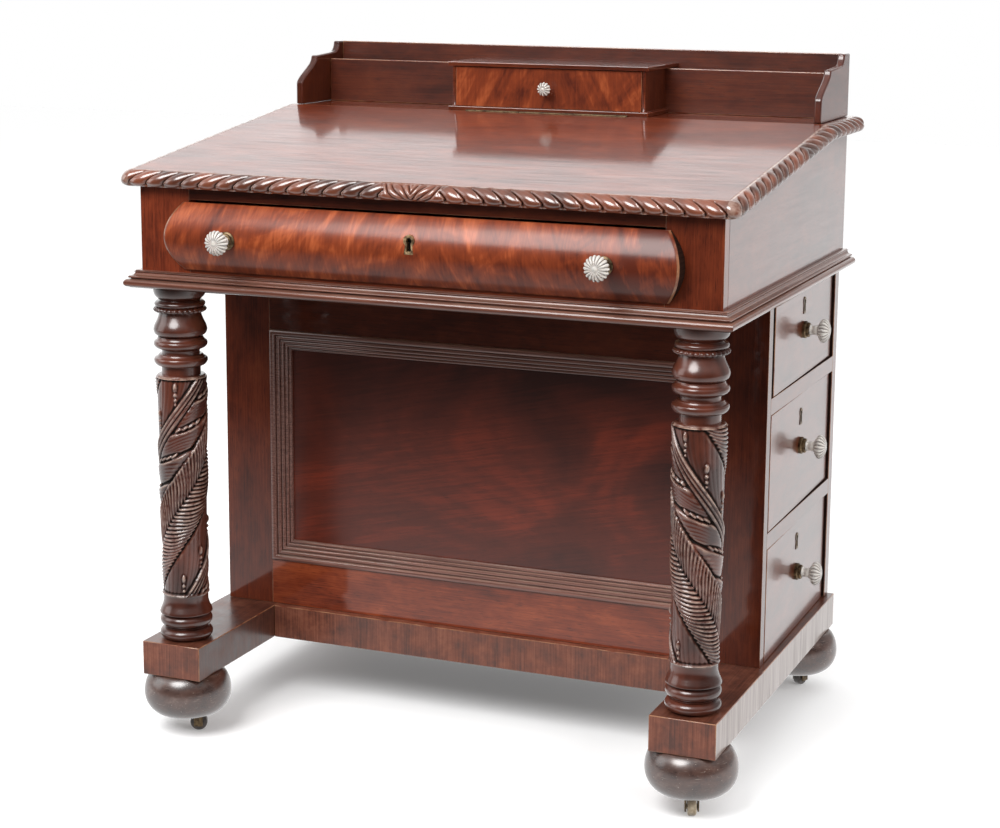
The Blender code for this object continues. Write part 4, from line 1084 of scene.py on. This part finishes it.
def edging_rows(half, depth, side_reach):
    """Rows along the lid's edging: place, outward direction, distance from the run's middle, and its run."""
    turn = []
    count = round(depth / EDGING_STEP)
    for n in range(count, -1, -1):
        back = depth * n / count
        turn.append(((-half, back - depth), (-1, 0), abs(back - side_reach / 2), "side"))
    for n in range(1, CORNER_STEPS):
        angle = radians(90 * n / CORNER_STEPS)
        bulge = 0.5 - abs(n / CORNER_STEPS - 0.5)
        turn.append(((-half, -depth), (-cos(angle), -sin(angle)), bulge, "corner"))
    front = []
    count = round(2 * half / EDGING_STEP)
    for n in range(count + 1):
        across = -half + 2 * half * n / count
        front.append(((across, -depth), (0, -1), abs(across), "front"))
    mirrored = [((-x, y), (-u, v), away, run) for (x, y), (u, v), away, run in reversed(turn)]
    return turn + front + mirrored


def edging_ring(line, normal, cut_back):
    """(out, up) round one row of edging, cut back but not behind its seat, and closed at its inner foot."""
    ring = [(max(out, 0), up) for out, up in line - normal * cut_back[:, None]]
    return [*ring, (0, -EDGING_THICKNESS)]


def finish_edging(name, points, cuts, node, stands_for, worn=0):
    """Close an edging from its rows, with painted shade marked in its hollows, and its ridges marked pale,
    partly rubbed, partly a painted highlight.
    """
    depths = np.pad(np.array(cuts), ((0, 0), (0, 1))) / MILLIMETRE
    proud = blur(depths.T, 3).T - depths
    wear_and_highlight = np.clip((proud - 0.2) / 1.2, 0, 1)
    wear_and_highlight = np.maximum(wear_and_highlight, np.broadcast_to(np.reshape(worn, (-1, 1)), wear_and_highlight.shape))
    # The top arris is pale all along: partly wear, partly a painted highlight.
    wear_and_highlight[:, :EDGING_ARRIS] = 1
    fields = {"wear_and_highlight": wear_and_highlight.ravel(), "hollow_shade": np.clip(-proud / 1.6, 0, 1).ravel()}
    shape(name, points, tube(*depths.shape), [EDGING], node, stands_for, MOULDING_ANGLE, fields)


def make_lid_edging():
    """The gadrooned edging round three sides of the lid, with a carved leaf at the middle of the front."""
    depth, side_reach = edging_runs()
    line, normal, share = edging_section()
    seat = Matrix.Translation((DESK_MIDDLE, LID_HIGH.y, LID_HIGH.z)) @ Matrix.Rotation(SLOPE, 4, "X")
    points = []
    cuts = []
    worn = []
    for (x, y), (u, v), away, run in edging_rows(TOP_HALF, depth, side_reach):
        if run == "front":
            cut_back = gadroon_depth(away, share, GADROON_FRONT_LOBES, LEAF_HALF, TOP_HALF)
        elif run == "side":
            cut_back = gadroon_depth(away, share, GADROON_SIDE_LOBES, 0, side_reach / 2)
        else:
            cut_back = corner_depth(away, share)
        upright = tan(SLOPE) * smooth(-LID_END_EASE, 0, y)
        for out, up in edging_ring(line, normal, cut_back):
            points.append(seat @ Vector((x + u * out, y + v * out + up * upright, up)))
        cuts.append(cut_back)
        worn.append(CORNER_WEAR if run == "corner" else 0)
    finish_edging("gadrooned_lid_edging", points, cuts, "lid_edging", True, worn)


def make_shelf_board():
    """The fixed shelf's board, notched for the hinge."""
    low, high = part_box("shelf")
    hinge_low, hinge_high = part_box("lid_hinge_fixed")
    left, right = DESK_MIDDLE - TOP_HALF, DESK_MIDDLE + TOP_HALF
    near, far = hinge_low.x - GAP, hinge_high.x + GAP
    notch = hinge_high.y + GAP
    outline = [(left, low.y), (near, low.y), (near, notch), (far, notch)]
    outline += [(far, low.y), (right, low.y), (right, high.y), (left, high.y)]
    direct = lambda u, v, z: (u, v, z)
    prism("shelf_board", outline, direct, (low.z, high.z), [LID_WOOD, EDGE], "shelf", FINE_BEVEL)


def make_shelf_ends():
    """The gadrooned edging at each end of the shelf."""
    low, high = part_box("shelf")
    depth, side_reach = edging_runs()
    line, normal, share = edging_section()
    count = round((high.y - low.y) / EDGING_STEP)
    for side, sign in (("left", -1), ("right", 1)):
        edge = DESK_MIDDLE + sign * TOP_HALF
        points = []
        cuts = []
        for n in range(count + 1):
            back = (high.y - low.y) * n / count
            away = abs(depth + back - side_reach / 2)
            cut_back = gadroon_depth(away, share, GADROON_SIDE_LOBES, 0, side_reach / 2)
            for out, up in edging_ring(line, normal, cut_back):
                points.append((edge + sign * out, low.y + back, high.z + up))
            cuts.append(cut_back)
        finish_edging("gadrooned_shelf_end_" + side, points, cuts, "shelf", False)


def keyhole_outline(width, height):
    """A round eye over a flared slot, about its middle."""
    radius = width / 2
    line = arc(0, height / 2 - radius, radius, radius, -50, 230, 20)
    return [(radius * KEYHOLE_FLARE, -height / 2), *line, (-radius * KEYHOLE_FLARE, -height / 2)]


def cut_keyhole(piece, outline, place):
    """Cut a keyhole in a drawer front; place turns (across, up, outward) into a point."""
    points = [place(u, v, level) for level in (-KEYHOLE_CUT, KEYHOLE_CUT) for u, v in outline]
    mesh = solid_mesh("keyhole_cutter", points, tube(2, len(outline)))
    cutter = new_object("keyhole_cutter", mesh, [LOCK])
    hole = piece.modifiers.new("keyhole", "BOOLEAN")
    hole.object = cutter
    hole.solver = "EXACT"
    bake(piece)
    bpy.data.objects.remove(cutter)
    bpy.data.meshes.remove(mesh)


def make_keyhole(piece, name, size, place, proud, metal, node):
    """A keyhole with a thin metal rim let into it, which stands out by proud."""
    width, height, rim = size
    cut_keyhole(piece, keyhole_outline(width, height), place)
    inner = keyhole_outline(width - 2 * rim, height - 2 * rim)
    outer = keyhole_outline(width - KEYHOLE_PLAY, height - KEYHOLE_PLAY)
    points = [place(u, v, level) for level in (-KEYHOLE_DEPTH, proud) for u, v in outer]
    points += [place(u, v, level) for level in (proud, -KEYHOLE_DEPTH) for u, v in inner]
    shape(name, points, tube(4, len(inner), closed=True), [metal], node, stands_for=False)


def dedupe(ring):
    """Drop points that repeat the one before them."""
    kept = []
    for point in ring:
        if not kept or (Vector(point) - Vector(kept[-1])).length > WELD:
            kept.append(point)
    return kept


def make_frieze_front():
    """The bolster front: bulged up and down, bowed at its ends, with a keyhole in the middle."""
    node = "frieze_drawer_front"
    low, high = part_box(node)
    middle_x = (low.x + high.x) / 2
    middle_z = (low.z + high.z) / 2
    half_wide = (high.x - low.x) / 2
    half_tall = (high.z - low.z) / 2
    bulge = lambda share: high.y - FRIEZE_EDGE - FRIEZE_BULGE * (1 - share**2)
    rows = []
    for n in range(FRIEZE_ROWS + 1):
        share = -cos(pi * n / FRIEZE_ROWS)
        end = half_wide - FRIEZE_BOW * share**2
        front = bulge(share)
        z = middle_z + half_tall * share
        ring = [(middle_x - end, high.y, z), (middle_x - end, front + FRIEZE_EASE, z)]
        for m in range(FRIEZE_COLUMNS + 1):
            across = -1 + 2 * m / FRIEZE_COLUMNS
            inset = min(1, (1 - abs(across)) * end / FRIEZE_EASE_REACH)
            ring.append((middle_x + end * across, front + FRIEZE_EASE * (1 - inset) ** 2, z))
        ring += [(middle_x + end, front + FRIEZE_EASE, z), (middle_x + end, high.y, z)]
        rows.append(dedupe(ring))
    points = [point for ring in rows for point in ring]
    woods = [FLAME, EDGE, PAINTED_GAP_SHADE]
    faces = tube(len(rows), len(rows[0]))
    piece = shape("bolster_front", points, faces, woods, node, sharp=FRIEZE_ANGLE)
    # The bolster's end faces get painted shade; a thin strip along its ends gets the pale arris finish,
    # partly wear, partly a painted highlight.
    for face in piece.data.polygons:
        share = (face.center.z - middle_z) / half_tall
        inset = half_wide - FRIEZE_BOW * share**2 - abs(face.center.x - middle_x)
        if abs(face.normal.x) > END_SIDEWAYS and abs(face.normal.y) < END_FORWARD:
            face.material_index = woods.index(PAINTED_GAP_SHADE)
        elif inset < FRIEZE_WEAR_AND_HIGHLIGHT:
            face.material_index = woods.index(EDGE)
    face_y = bulge(FRIEZE_KEY_RAISE / half_tall)
    place = lambda u, v, out: (middle_x + u, face_y - out, middle_z + FRIEZE_KEY_RAISE + v)
    piece.data.materials.append(LOCK)
    make_keyhole(piece, "frieze_key_lining", FRIEZE_KEY, place, FRIEZE_KEY_PROUD, PALE_METAL, node)


def loosen(piece, gaps):
    """Draw in a side drawer front at its two ends, and let its face fall back a little towards the rear."""
    places = [vertex.co.y for vertex in piece.data.vertices]
    depths = [vertex.co.x for vertex in piece.data.vertices]
    near, far = min(places), max(places)
    face = (min(depths) + max(depths)) / 2
    for vertex in piece.data.vertices:
        share = (vertex.co.y - near) / (far - near)
        if share < END_SHARE:
            vertex.co.y += gaps[0]
        elif share > 1 - END_SHARE:
            vertex.co.y -= gaps[1]
        if vertex.co.x > face:
            vertex.co.x -= FRONT_SKEW * share


def make_side_front(name):
    """A side drawer front with a lined keyhole over its knob."""
    node = "side_drawer_front_" + name
    low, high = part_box(node)
    key_y = (low.y + high.y) / 2 - SIDE_KEY_ASIDE
    key_z = (low.z + high.z) / 2 + SIDE_KEY_RAISE[name]
    face_x = high.x - FRONT_SKEW / 2
    place = lambda u, v, out: (face_x + out, key_y + u, key_z + v)
    # The front's end and edge faces, seen in the gaps, get painted shade.
    front = dressed(node, SIDE_WOOD, faces={"y": PAINTED_GAP_SHADE, "z": PAINTED_GAP_SHADE})
    loosen(front, FRONT_LOOSE[name])
    make_keyhole(front, "side_key_lining_" + name, SIDE_KEY, place, SIDE_KEY_PROUD, BRASS, node)


def make_side_box(name):
    """A side drawer's box with painted shade on its front end, which shows beside the loose front."""
    node = "side_drawer_box_" + name
    box = dressed(node, LINING, FINE_BEVEL, worn=LINING, faces={"x": CROSS_LINING})
    box.data.materials.append(PAINTED_GAP_SHADE)
    front_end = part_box(node)[1].x - BOX_END
    for face in box.data.polygons:
        if faces_way(face, "+x") and face.center.x > front_end:
            face.material_index = len(box.data.materials) - 1


def knob_flutes(neck, head, depth, count):
    """Scallops round a glass head, fading at its middle and its neck."""

    def scale(angle, radius, height):
        share = max(0.0, min(1.0, (height - neck) / (0.3 * head)))
        fade = min(1.0, radius / (0.35 * head))
        return 1 - depth * share * fade * (1 - abs(cos(count / 2 * angle)) ** 0.6)

    return scale


def knob_rows(radius, head, neck, neck_radius):
    """A melon-shaped head with a small boss at its front, on a waisted neck."""
    line = [(TURN_TIP, 0), (neck_radius * 0.98, 0), (neck_radius, 0.0006)]
    line += curve([(neck_radius, 0.0012), (neck_radius * 0.86, neck * 0.45), (neck_radius * 1.02, neck)], 5)
    line += arc(0, neck + head / 2, radius, head / 2, -58, 62, 22)
    boss = ((0.40, 0.945), (0.31, 0.925), (0.22, 0.93), (0.17, 0.96), (0.10, 0.985), (0.02, 0.995))
    return line + [(radius * out, neck + head * up) for out, up in boss]


def axis_seat(node, axis):
    """A seat at the foot of a knob or ferrule that lies along an axis."""
    low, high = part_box(node)
    middle = (low + high) / 2
    if axis == "front":
        return Matrix.Translation((middle.x, high.y, middle.z)) @ Matrix.Rotation(pi / 2, 4, "X")
    return Matrix.Translation((low.x, middle.y, middle.z)) @ Matrix.Rotation(pi / 2, 4, "Y")


def reeds(angle, radius, height):
    """Fine reeding round the front collar of a ferrule."""
    if height < REED_LOW or radius < REED_INNER:
        return 1
    return 1 - REED_DEPTH * (1 - abs(cos(REEDS * angle)))


def make_glass(knob, axis, size, depth, count):
    """A fluted glass head on its neck."""
    flutes = knob_flutes(size[2], size[1], depth, count)
    turned("fluted_" + knob, knob_rows(*size), axis_seat(knob, axis), [GLASS], knob, KNOB_STEPS, flutes)


def make_knob(name, axis):
    """A ferrule in two tiers and a fluted glass head."""
    ferrule = "ferrule_" + name
    foot = -FRONT_SKEW if axis == "side" else 0
    rows = [(TURN_TIP, foot), (0.0112, foot), (0.0115, 0.0004), (0.0115, 0.0014), (0.0109, 0.0022)]
    rows += [(0.0098, 0.0026), (0.0094, 0.0030), (0.0097, 0.0036), (0.0097, 0.0054), (0.0090, 0.0062)]
    rows += [(0.0080, 0.0065), (TURN_TIP, 0.0065)]
    turned("turned_" + ferrule, rows, axis_seat(ferrule, axis), [BRASS], ferrule, FERRULE_STEPS, reeds)
    make_glass("knob_" + name, axis, KNOB_SIZE, KNOB_FLUTE_DEPTH, KNOB_FLUTES)


def swept(name, section, corners, closed, place, material, node):
    """A moulding with mitred corners. Each corner is a point and the way its section points outward."""
    points = []
    for (x, y), (u, v) in corners:
        points += [place(x + u * out, y + v * out, up) for out, up in section]
    faces = tube(len(corners), len(section), closed)
    shape(name, points, faces, [material], node, sharp=MOULDING_ANGLE)


def make_waist():
    """The waist moulding: half-round, quirk, small bead, cove and top fillet round three sides."""
    low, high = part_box("waist_moulding")
    case_low, case_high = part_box("case_front")
    left, right = case_low.x - GAP, case_high.x + GAP
    front = case_low.y - GAP
    reach = case_low.x - low.x - GAP
    tall = high.z - low.z
    wide = 0.0064
    section = [(0, 0), (reach - wide, 0), (reach - wide, 0.0004)]
    section += arc(reach - wide, 0.0059, wide, 0.0054, -80, 84, 18)
    section += [(reach - 0.0074, 0.0114), (reach - 0.0074, 0.0122)]
    section += arc(reach - 0.0066, 0.0137, 0.0018, 0.0015, -84, 88, 8)
    section += arc(reach - 0.0068, 0.0199, 0.0048, 0.0046, 266, 182, 10)
    section += arc(reach - 0.0116, 0.0205, 0.0012, 0.0006, -80, 84, 6)
    section += [(0.0054, 0.0212), (0.0060, 0.0214), (0.0060, tall - 0.0003), (0.0056, tall), (0, tall)]
    corners = [((left, high.y), (-1, 0)), ((left, front), (-1, -1))]
    corners += [((right, front), (1, -1)), ((right, high.y), (1, 0))]
    place = lambda x, y, up: (x, y, low.z + up)
    swept("moulded_waist", section, corners, False, place, WAIST_WOOD, "waist_moulding")


def make_panel_moulding():
    """The reeded moulding round the kneehole panel, stepping in from a bold outer bead."""
    low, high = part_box("panel_moulding")
    frame_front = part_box("kneehole_frame")[0].y
    wide = 0.029
    drop = high.y - frame_front
    section = [(0, -drop)] + arc(0.0040, 0, 0.0040, frame_front - low.y - 0.0001, 180, 8, 12)
    section += arc(0.0112, -0.0030, 0.0029, 0.0034, 175, 5, 10)
    section += arc(0.0170, -0.0052, 0.0026, 0.0032, 175, 5, 10)
    section += arc(0.0222, -0.0074, 0.0024, 0.0030, 175, 5, 10)
    section += arc(0.0267, -0.0092, 0.0020, 0.0026, 175, 20, 10)
    section += [(wide, -drop + 0.0012), (wide, -drop)]
    section = [(out, max(up, -drop)) for out, up in section]
    corners = [((low.x, low.z), (1, 1)), ((low.x, high.z), (1, -1))]
    corners += [((high.x, high.z), (-1, -1)), ((high.x, low.z), (-1, 1))]
    place = lambda x, z, up: (x, frame_front - up, z)
    swept("reeded_panel_moulding", section, corners, True, place, REEDED_WOOD, "panel_moulding")


def scroll_line(low, high):
    """A gallery end's outline from its front foot: upright, ogee to the tongue, step and cove to the back."""
    front, base = low.y, low.z
    ogee = [(front, base + SCROLL_FOOT)]
    for n in range(1, SCROLL_STEPS + 1):
        share = n / SCROLL_STEPS
        ease = share * share * (3 - 2 * share)
        rise = SCROLL_FOOT + (SCROLL_TONGUE - SCROLL_NOSE - SCROLL_FOOT) * share
        ogee.append((front + SCROLL_SWEEP * ease, base + rise))
    nose = (front + SCROLL_SWEEP + SCROLL_TIP, base + SCROLL_TONGUE - SCROLL_TIP)
    cove = arc(high.y - SCROLL_FLAT - SCROLL_COVE, high.z, SCROLL_COVE, SCROLL_COVE, -90, 0, 12)
    return [(front, base), *ogee, nose, *cove, (high.y, high.z), (high.y, base)]


def make_gallery_end(side, wood):
    """A scrolled end of the gallery, dull along its edges."""
    node = "gallery_end_" + side
    low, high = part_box(node)
    direct = lambda u, v, x: (x, u, v)
    woods = [wood, SCROLL_EDGE]
    prism("scrolled_" + node, scroll_line(low, high), direct, (low.x, high.x), woods, node, SCROLL_ROUND)


def make_bun(corner):
    """A bun foot with a turned fillet at its top."""
    node = "bun_foot_" + corner
    low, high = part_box(node)
    middle = (low + high) / 2
    tall = high.z - low.z
    line = [(TURN_TIP, 0), (0.0320, 0)]
    line += arc(0.030, BUN_WIDEST, 0.0279, BUN_WIDEST - 0.0001, -86, 0, 18)
    line += arc(0.040, BUN_WIDEST, 0.0179, 0.030, 4, 68, 16)
    line += [(0.0455, tall), (TURN_TIP, tall)]
    turned("turned_" + node, line, Matrix.Translation((middle.x, middle.y, low.z)), [SCUFFED], node)


def make_wheel(corner):
    """A caster wheel with rounded edges and axle ends."""
    node = "caster_wheel_" + corner
    vertices = np.array([tuple(v.co) for v in frame["nodes"][node].data.vertices])
    middle = vertices.mean(axis=0)
    along = np.linalg.svd(vertices - middle, full_matrices=False)[2][-1]
    turn = Vector((0, 0, 1)).rotation_difference(Vector(along)).to_matrix().to_4x4()
    reach = np.abs((vertices - middle) @ along).max()
    half = WHEEL_HALF
    line = [(TURN_TIP, -reach), (AXLE, -reach), (AXLE, -half), (0.0078, -half)]
    line += arc(0.009, WHEEL_EDGE - half, 0.0024, WHEEL_EDGE, -80, 0, 6)
    line += arc(0.009, half - WHEEL_EDGE, 0.0024, WHEEL_EDGE, 0, 80, 6)
    line += [(0.0078, half), (AXLE, half), (AXLE, reach), (TURN_TIP, reach)]
    finish = PALE_WHEEL if corner == PALE_CORNER else DARK_WHEEL
    turned("turned_" + node, line, Matrix.Translation(middle) @ turn, [finish], node, SMALL_TURN_STEPS)


def make_feet():
    """Buns, forks and wheels at the four corners."""
    for corner in CORNERS:
        make_bun(corner)
        make_wheel(corner)
        dressed("caster_fork_" + corner, DARK_BRASS, FINE_BEVEL, worn=DARK_BRASS)


def make_base():
    """Runners and the rail between them."""
    for side, outside, inside in (("left", "-x", "+x"), ("right", "+x", "-x")):
        # Outer sides take a painted reflection, inner sides painted shade.
        finish = {outside: RUNNER_SIDE, inside: PAINTED_SHADE_RUNNER_INSIDE, "y": WEATHERED}
        dressed("runner_" + side, RUNNER_TOP, faces=finish)
    dressed("cross_rail", WEATHERED)


def make_pedestal():
    """The kneehole frame and panel, the plain boards and the drawers in the side."""
    low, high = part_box("panel_moulding")
    woods = {"left": WOOD["z"], "right": PAINTED_SHADE_WOOD["z"], "low": PAINTED_LIGHT_RAIL_WOOD, "high": PAINTED_SHADE_WOOD["x"]}
    framed("kneehole_frame", (low.x, low.z), (high.x, high.z), woods)
    repaint("kneehole_panel", PANEL_FLAME)
    make_panel_moulding()
    dressed("pedestal_side_left", SIDE_WOOD)
    # Faces inside the drawer openings get painted shade.
    dressed("pedestal_back", WOOD["z"], faces={"x": SIDE_WOOD, "-y": PAINTED_GAP_SHADE})
    dressed("drawer_carcass", SIDE_WOOD, FINE_BEVEL, faces={"y": PAINTED_GAP_SHADE, "z": PAINTED_GAP_SHADE})
    for name in DRAWERS:
        make_side_front(name)
    for name in DRAWERS:
        make_side_box(name)
        make_knob("side_" + name, "side")


def make_case():
    """The upper case, its moulding and the frieze drawer."""
    low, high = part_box("frieze_drawer_box")
    hole_low = (low.x - HOLE_PLAY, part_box("waist_moulding")[1].z + HOLE_REVEAL)
    woods = {"left": PAINTED_LIGHT_WOOD, "right": WOOD["z"], "low": WOOD["x"], "high": PAINTED_SHADE_WOOD["x"]}
    framed("case_front", hole_low, (high.x + HOLE_PLAY, HOLE_TOP), woods)
    for side in ("left", "right"):
        dressed("case_side_" + side, SIDE_WOOD, worn=SIDE_WOOD)
    dressed("case_back", WOOD["x"])
    repaint("case_floor", LINING)
    repaint("well_floor", LINING)
    make_waist()
    make_frieze_front()
    dressed("frieze_drawer_box", LINING, FINE_BEVEL, worn=LINING, faces={"x": CROSS_LINING})
    for side in ("left", "right"):
        make_knob("frieze_" + side, "front")


def make_top():
    """The lid with its edging, the shelf and the hinge."""
    dressed("lid", LID_WOOD, FINE_BEVEL)
    make_lid_edging()
    make_shelf_board()
    make_shelf_ends()
    repaint("lid_hinge_fixed", DARK_BRASS)
    repaint("lid_hinge_moving", DARK_BRASS)


def make_gallery():
    """Ends, back, divider and the nest with its drawer."""
    make_gallery_end("left", SCROLL_PAINTED_SHADE)
    make_gallery_end("right", SIDE_WOOD)
    dressed("gallery_back", GALLERY_WOOD)
    dressed("letter_divider", GALLERY_WOOD)
    dressed("nest_case", PAINTED_SHADE_WOOD["x"], worn=WOOD["x"], faces={"x": SCROLL_PAINTED_SHADE})
    dressed("gallery_drawer", NEST_FLAME, FINE_BEVEL)
    make_glass("knob_gallery", "front", SMALL_KNOB_SIZE, SMALL_FLUTE_DEPTH, SMALL_KNOB_FLUTES)


def floor_finish():
    """A plain pale floor that keeps its shadow; reflections of it brighten towards the back."""
    graph = Graph("studio_floor")
    path = graph.node("LightPath").outputs
    colour = graph.mix(path["Is Diffuse Ray"], FLOOR_COLOUR, FLOOR_BOUNCE)
    graph.set(Base_Color=colour, Roughness=0.9, Specular_IOR_Level=0.0)
    plain = graph.shader.outputs["BSDF"]
    lit = graph.node("AddShader", {0: plain, 1: graph.glow(FLOOR_SEEN)}).outputs["Shader"]
    direct = graph.choose(path["Is Camera Ray"], plain, lit)
    glow = graph.glow(graph.span(graph.parts(graph.spot())["Y"], FLOOR_MIRROR_TURN, FLOOR_MIRRORED))
    final = graph.choose(graph.mirror(path), direct, glow)
    graph.feed(graph.tree.nodes["Material Output"].inputs["Surface"], final)
    return graph.material


def make_floor():
    """A wide flat floor."""
    mesh = bpy.data.meshes.new("floor")
    reach = FLOOR_REACH
    corners = [(-reach, -reach, 0), (reach, -reach, 0), (reach, reach, 0), (-reach, reach, 0)]
    mesh.from_pydata(corners, [], [(0, 1, 2, 3)])
    new_object("floor", mesh, [floor_finish()])


def make_sky():
    """Soft light mostly from above, white to the camera; reflections of it brighten towards the back."""
    world = bpy.data.worlds.new("studio")
    bpy.context.scene.world = world
    world.use_nodes = True
    graph = WorldGraph(world)
    path = graph.node("LightPath").outputs
    way = graph.parts(graph.node("TexCoord").outputs["Generated"])
    soft = graph.glow(graph.span(way["Z"], (0, 1), SKY_RISING))
    back = graph.span(way["Z"], SKY_BACK_RISE, SKY_MIRRORED_BACK)
    back = graph.times(back, graph.span(way["X"], SKY_RIGHT_TURN, SKY_RIGHT_DIM))
    front = graph.span(way["Z"], SKY_FRONT_RISE, SKY_MIRRORED_FRONT)
    side = graph.span(way["Y"], SKY_MIRROR_TURN)
    mirrored = graph.glow(graph.weigh((side, back), (graph.math("SUBTRACT", 1.0, side), front)))
    direct = graph.choose(path["Is Camera Ray"], soft, graph.glow(SKY_SEEN))
    final = graph.choose(graph.mirror(path), direct, mirrored)
    graph.feed(graph.tree.nodes["World Output"].inputs["Surface"], final)


def make_lamp(name, place, power, size, mirrored):
    """A round soft box aimed at the desk, seen in reflections or not."""
    data = bpy.data.lights.new(name, "AREA")
    data.energy = power
    data.shape = "DISK"
    data.size = size
    lamp = bpy.data.objects.new(name, data)
    lamp.location = place
    lamp.rotation_euler = (Vector(AIM) - Vector(place)).to_track_quat("-Z", "Y").to_euler()
    lamp.visible_camera = False
    lamp.visible_glossy = mirrored
    bpy.context.scene.collection.objects.link(lamp)
    return lamp


def make_strip():
    """A tall strip light that only shows in reflections."""
    lamp = make_lamp("strip_light", STRIP_PLACE, STRIP_POWER, STRIP_WIDTH, True)
    lamp.data.shape = "RECTANGLE"
    lamp.data.size_y = STRIP_HEIGHT
    lamp.visible_diffuse = False


def make_camera():
    """The camera that sees the desk as the photograph does."""
    data = bpy.data.cameras.new("camera")
    data.lens = CAMERA_LENS
    data.sensor_width = CAMERA_SENSOR
    data.sensor_fit = "HORIZONTAL"
    data.shift_x, data.shift_y = CAMERA_SHIFT
    camera = bpy.data.objects.new("camera", data)
    aim = Matrix.Rotation(radians(CAMERA_AZIMUTH), 4, "Z")
    aim = aim @ Matrix.Rotation(radians(90 - CAMERA_ELEVATION), 4, "X")
    aim = aim @ Matrix.Rotation(radians(CAMERA_ROLL), 4, "Z")
    camera.matrix_world = Matrix.Translation(CAMERA_PLACE) @ aim
    bpy.context.scene.collection.objects.link(camera)
    bpy.context.scene.camera = camera


make_feet()
make_base()
make_column("left", -1)
make_column("right", 1)
make_pedestal()
make_case()
make_top()
make_gallery()
make_floor()
make_sky()
make_lamp("key_light", KEY_PLACE, KEY_POWER, KEY_SIZE, True)
make_lamp("fill_light", FILL_PLACE, FILL_POWER, FILL_SIZE, False)
make_strip()
make_camera()
bpy.context.scene.view_settings.view_transform = "Standard"
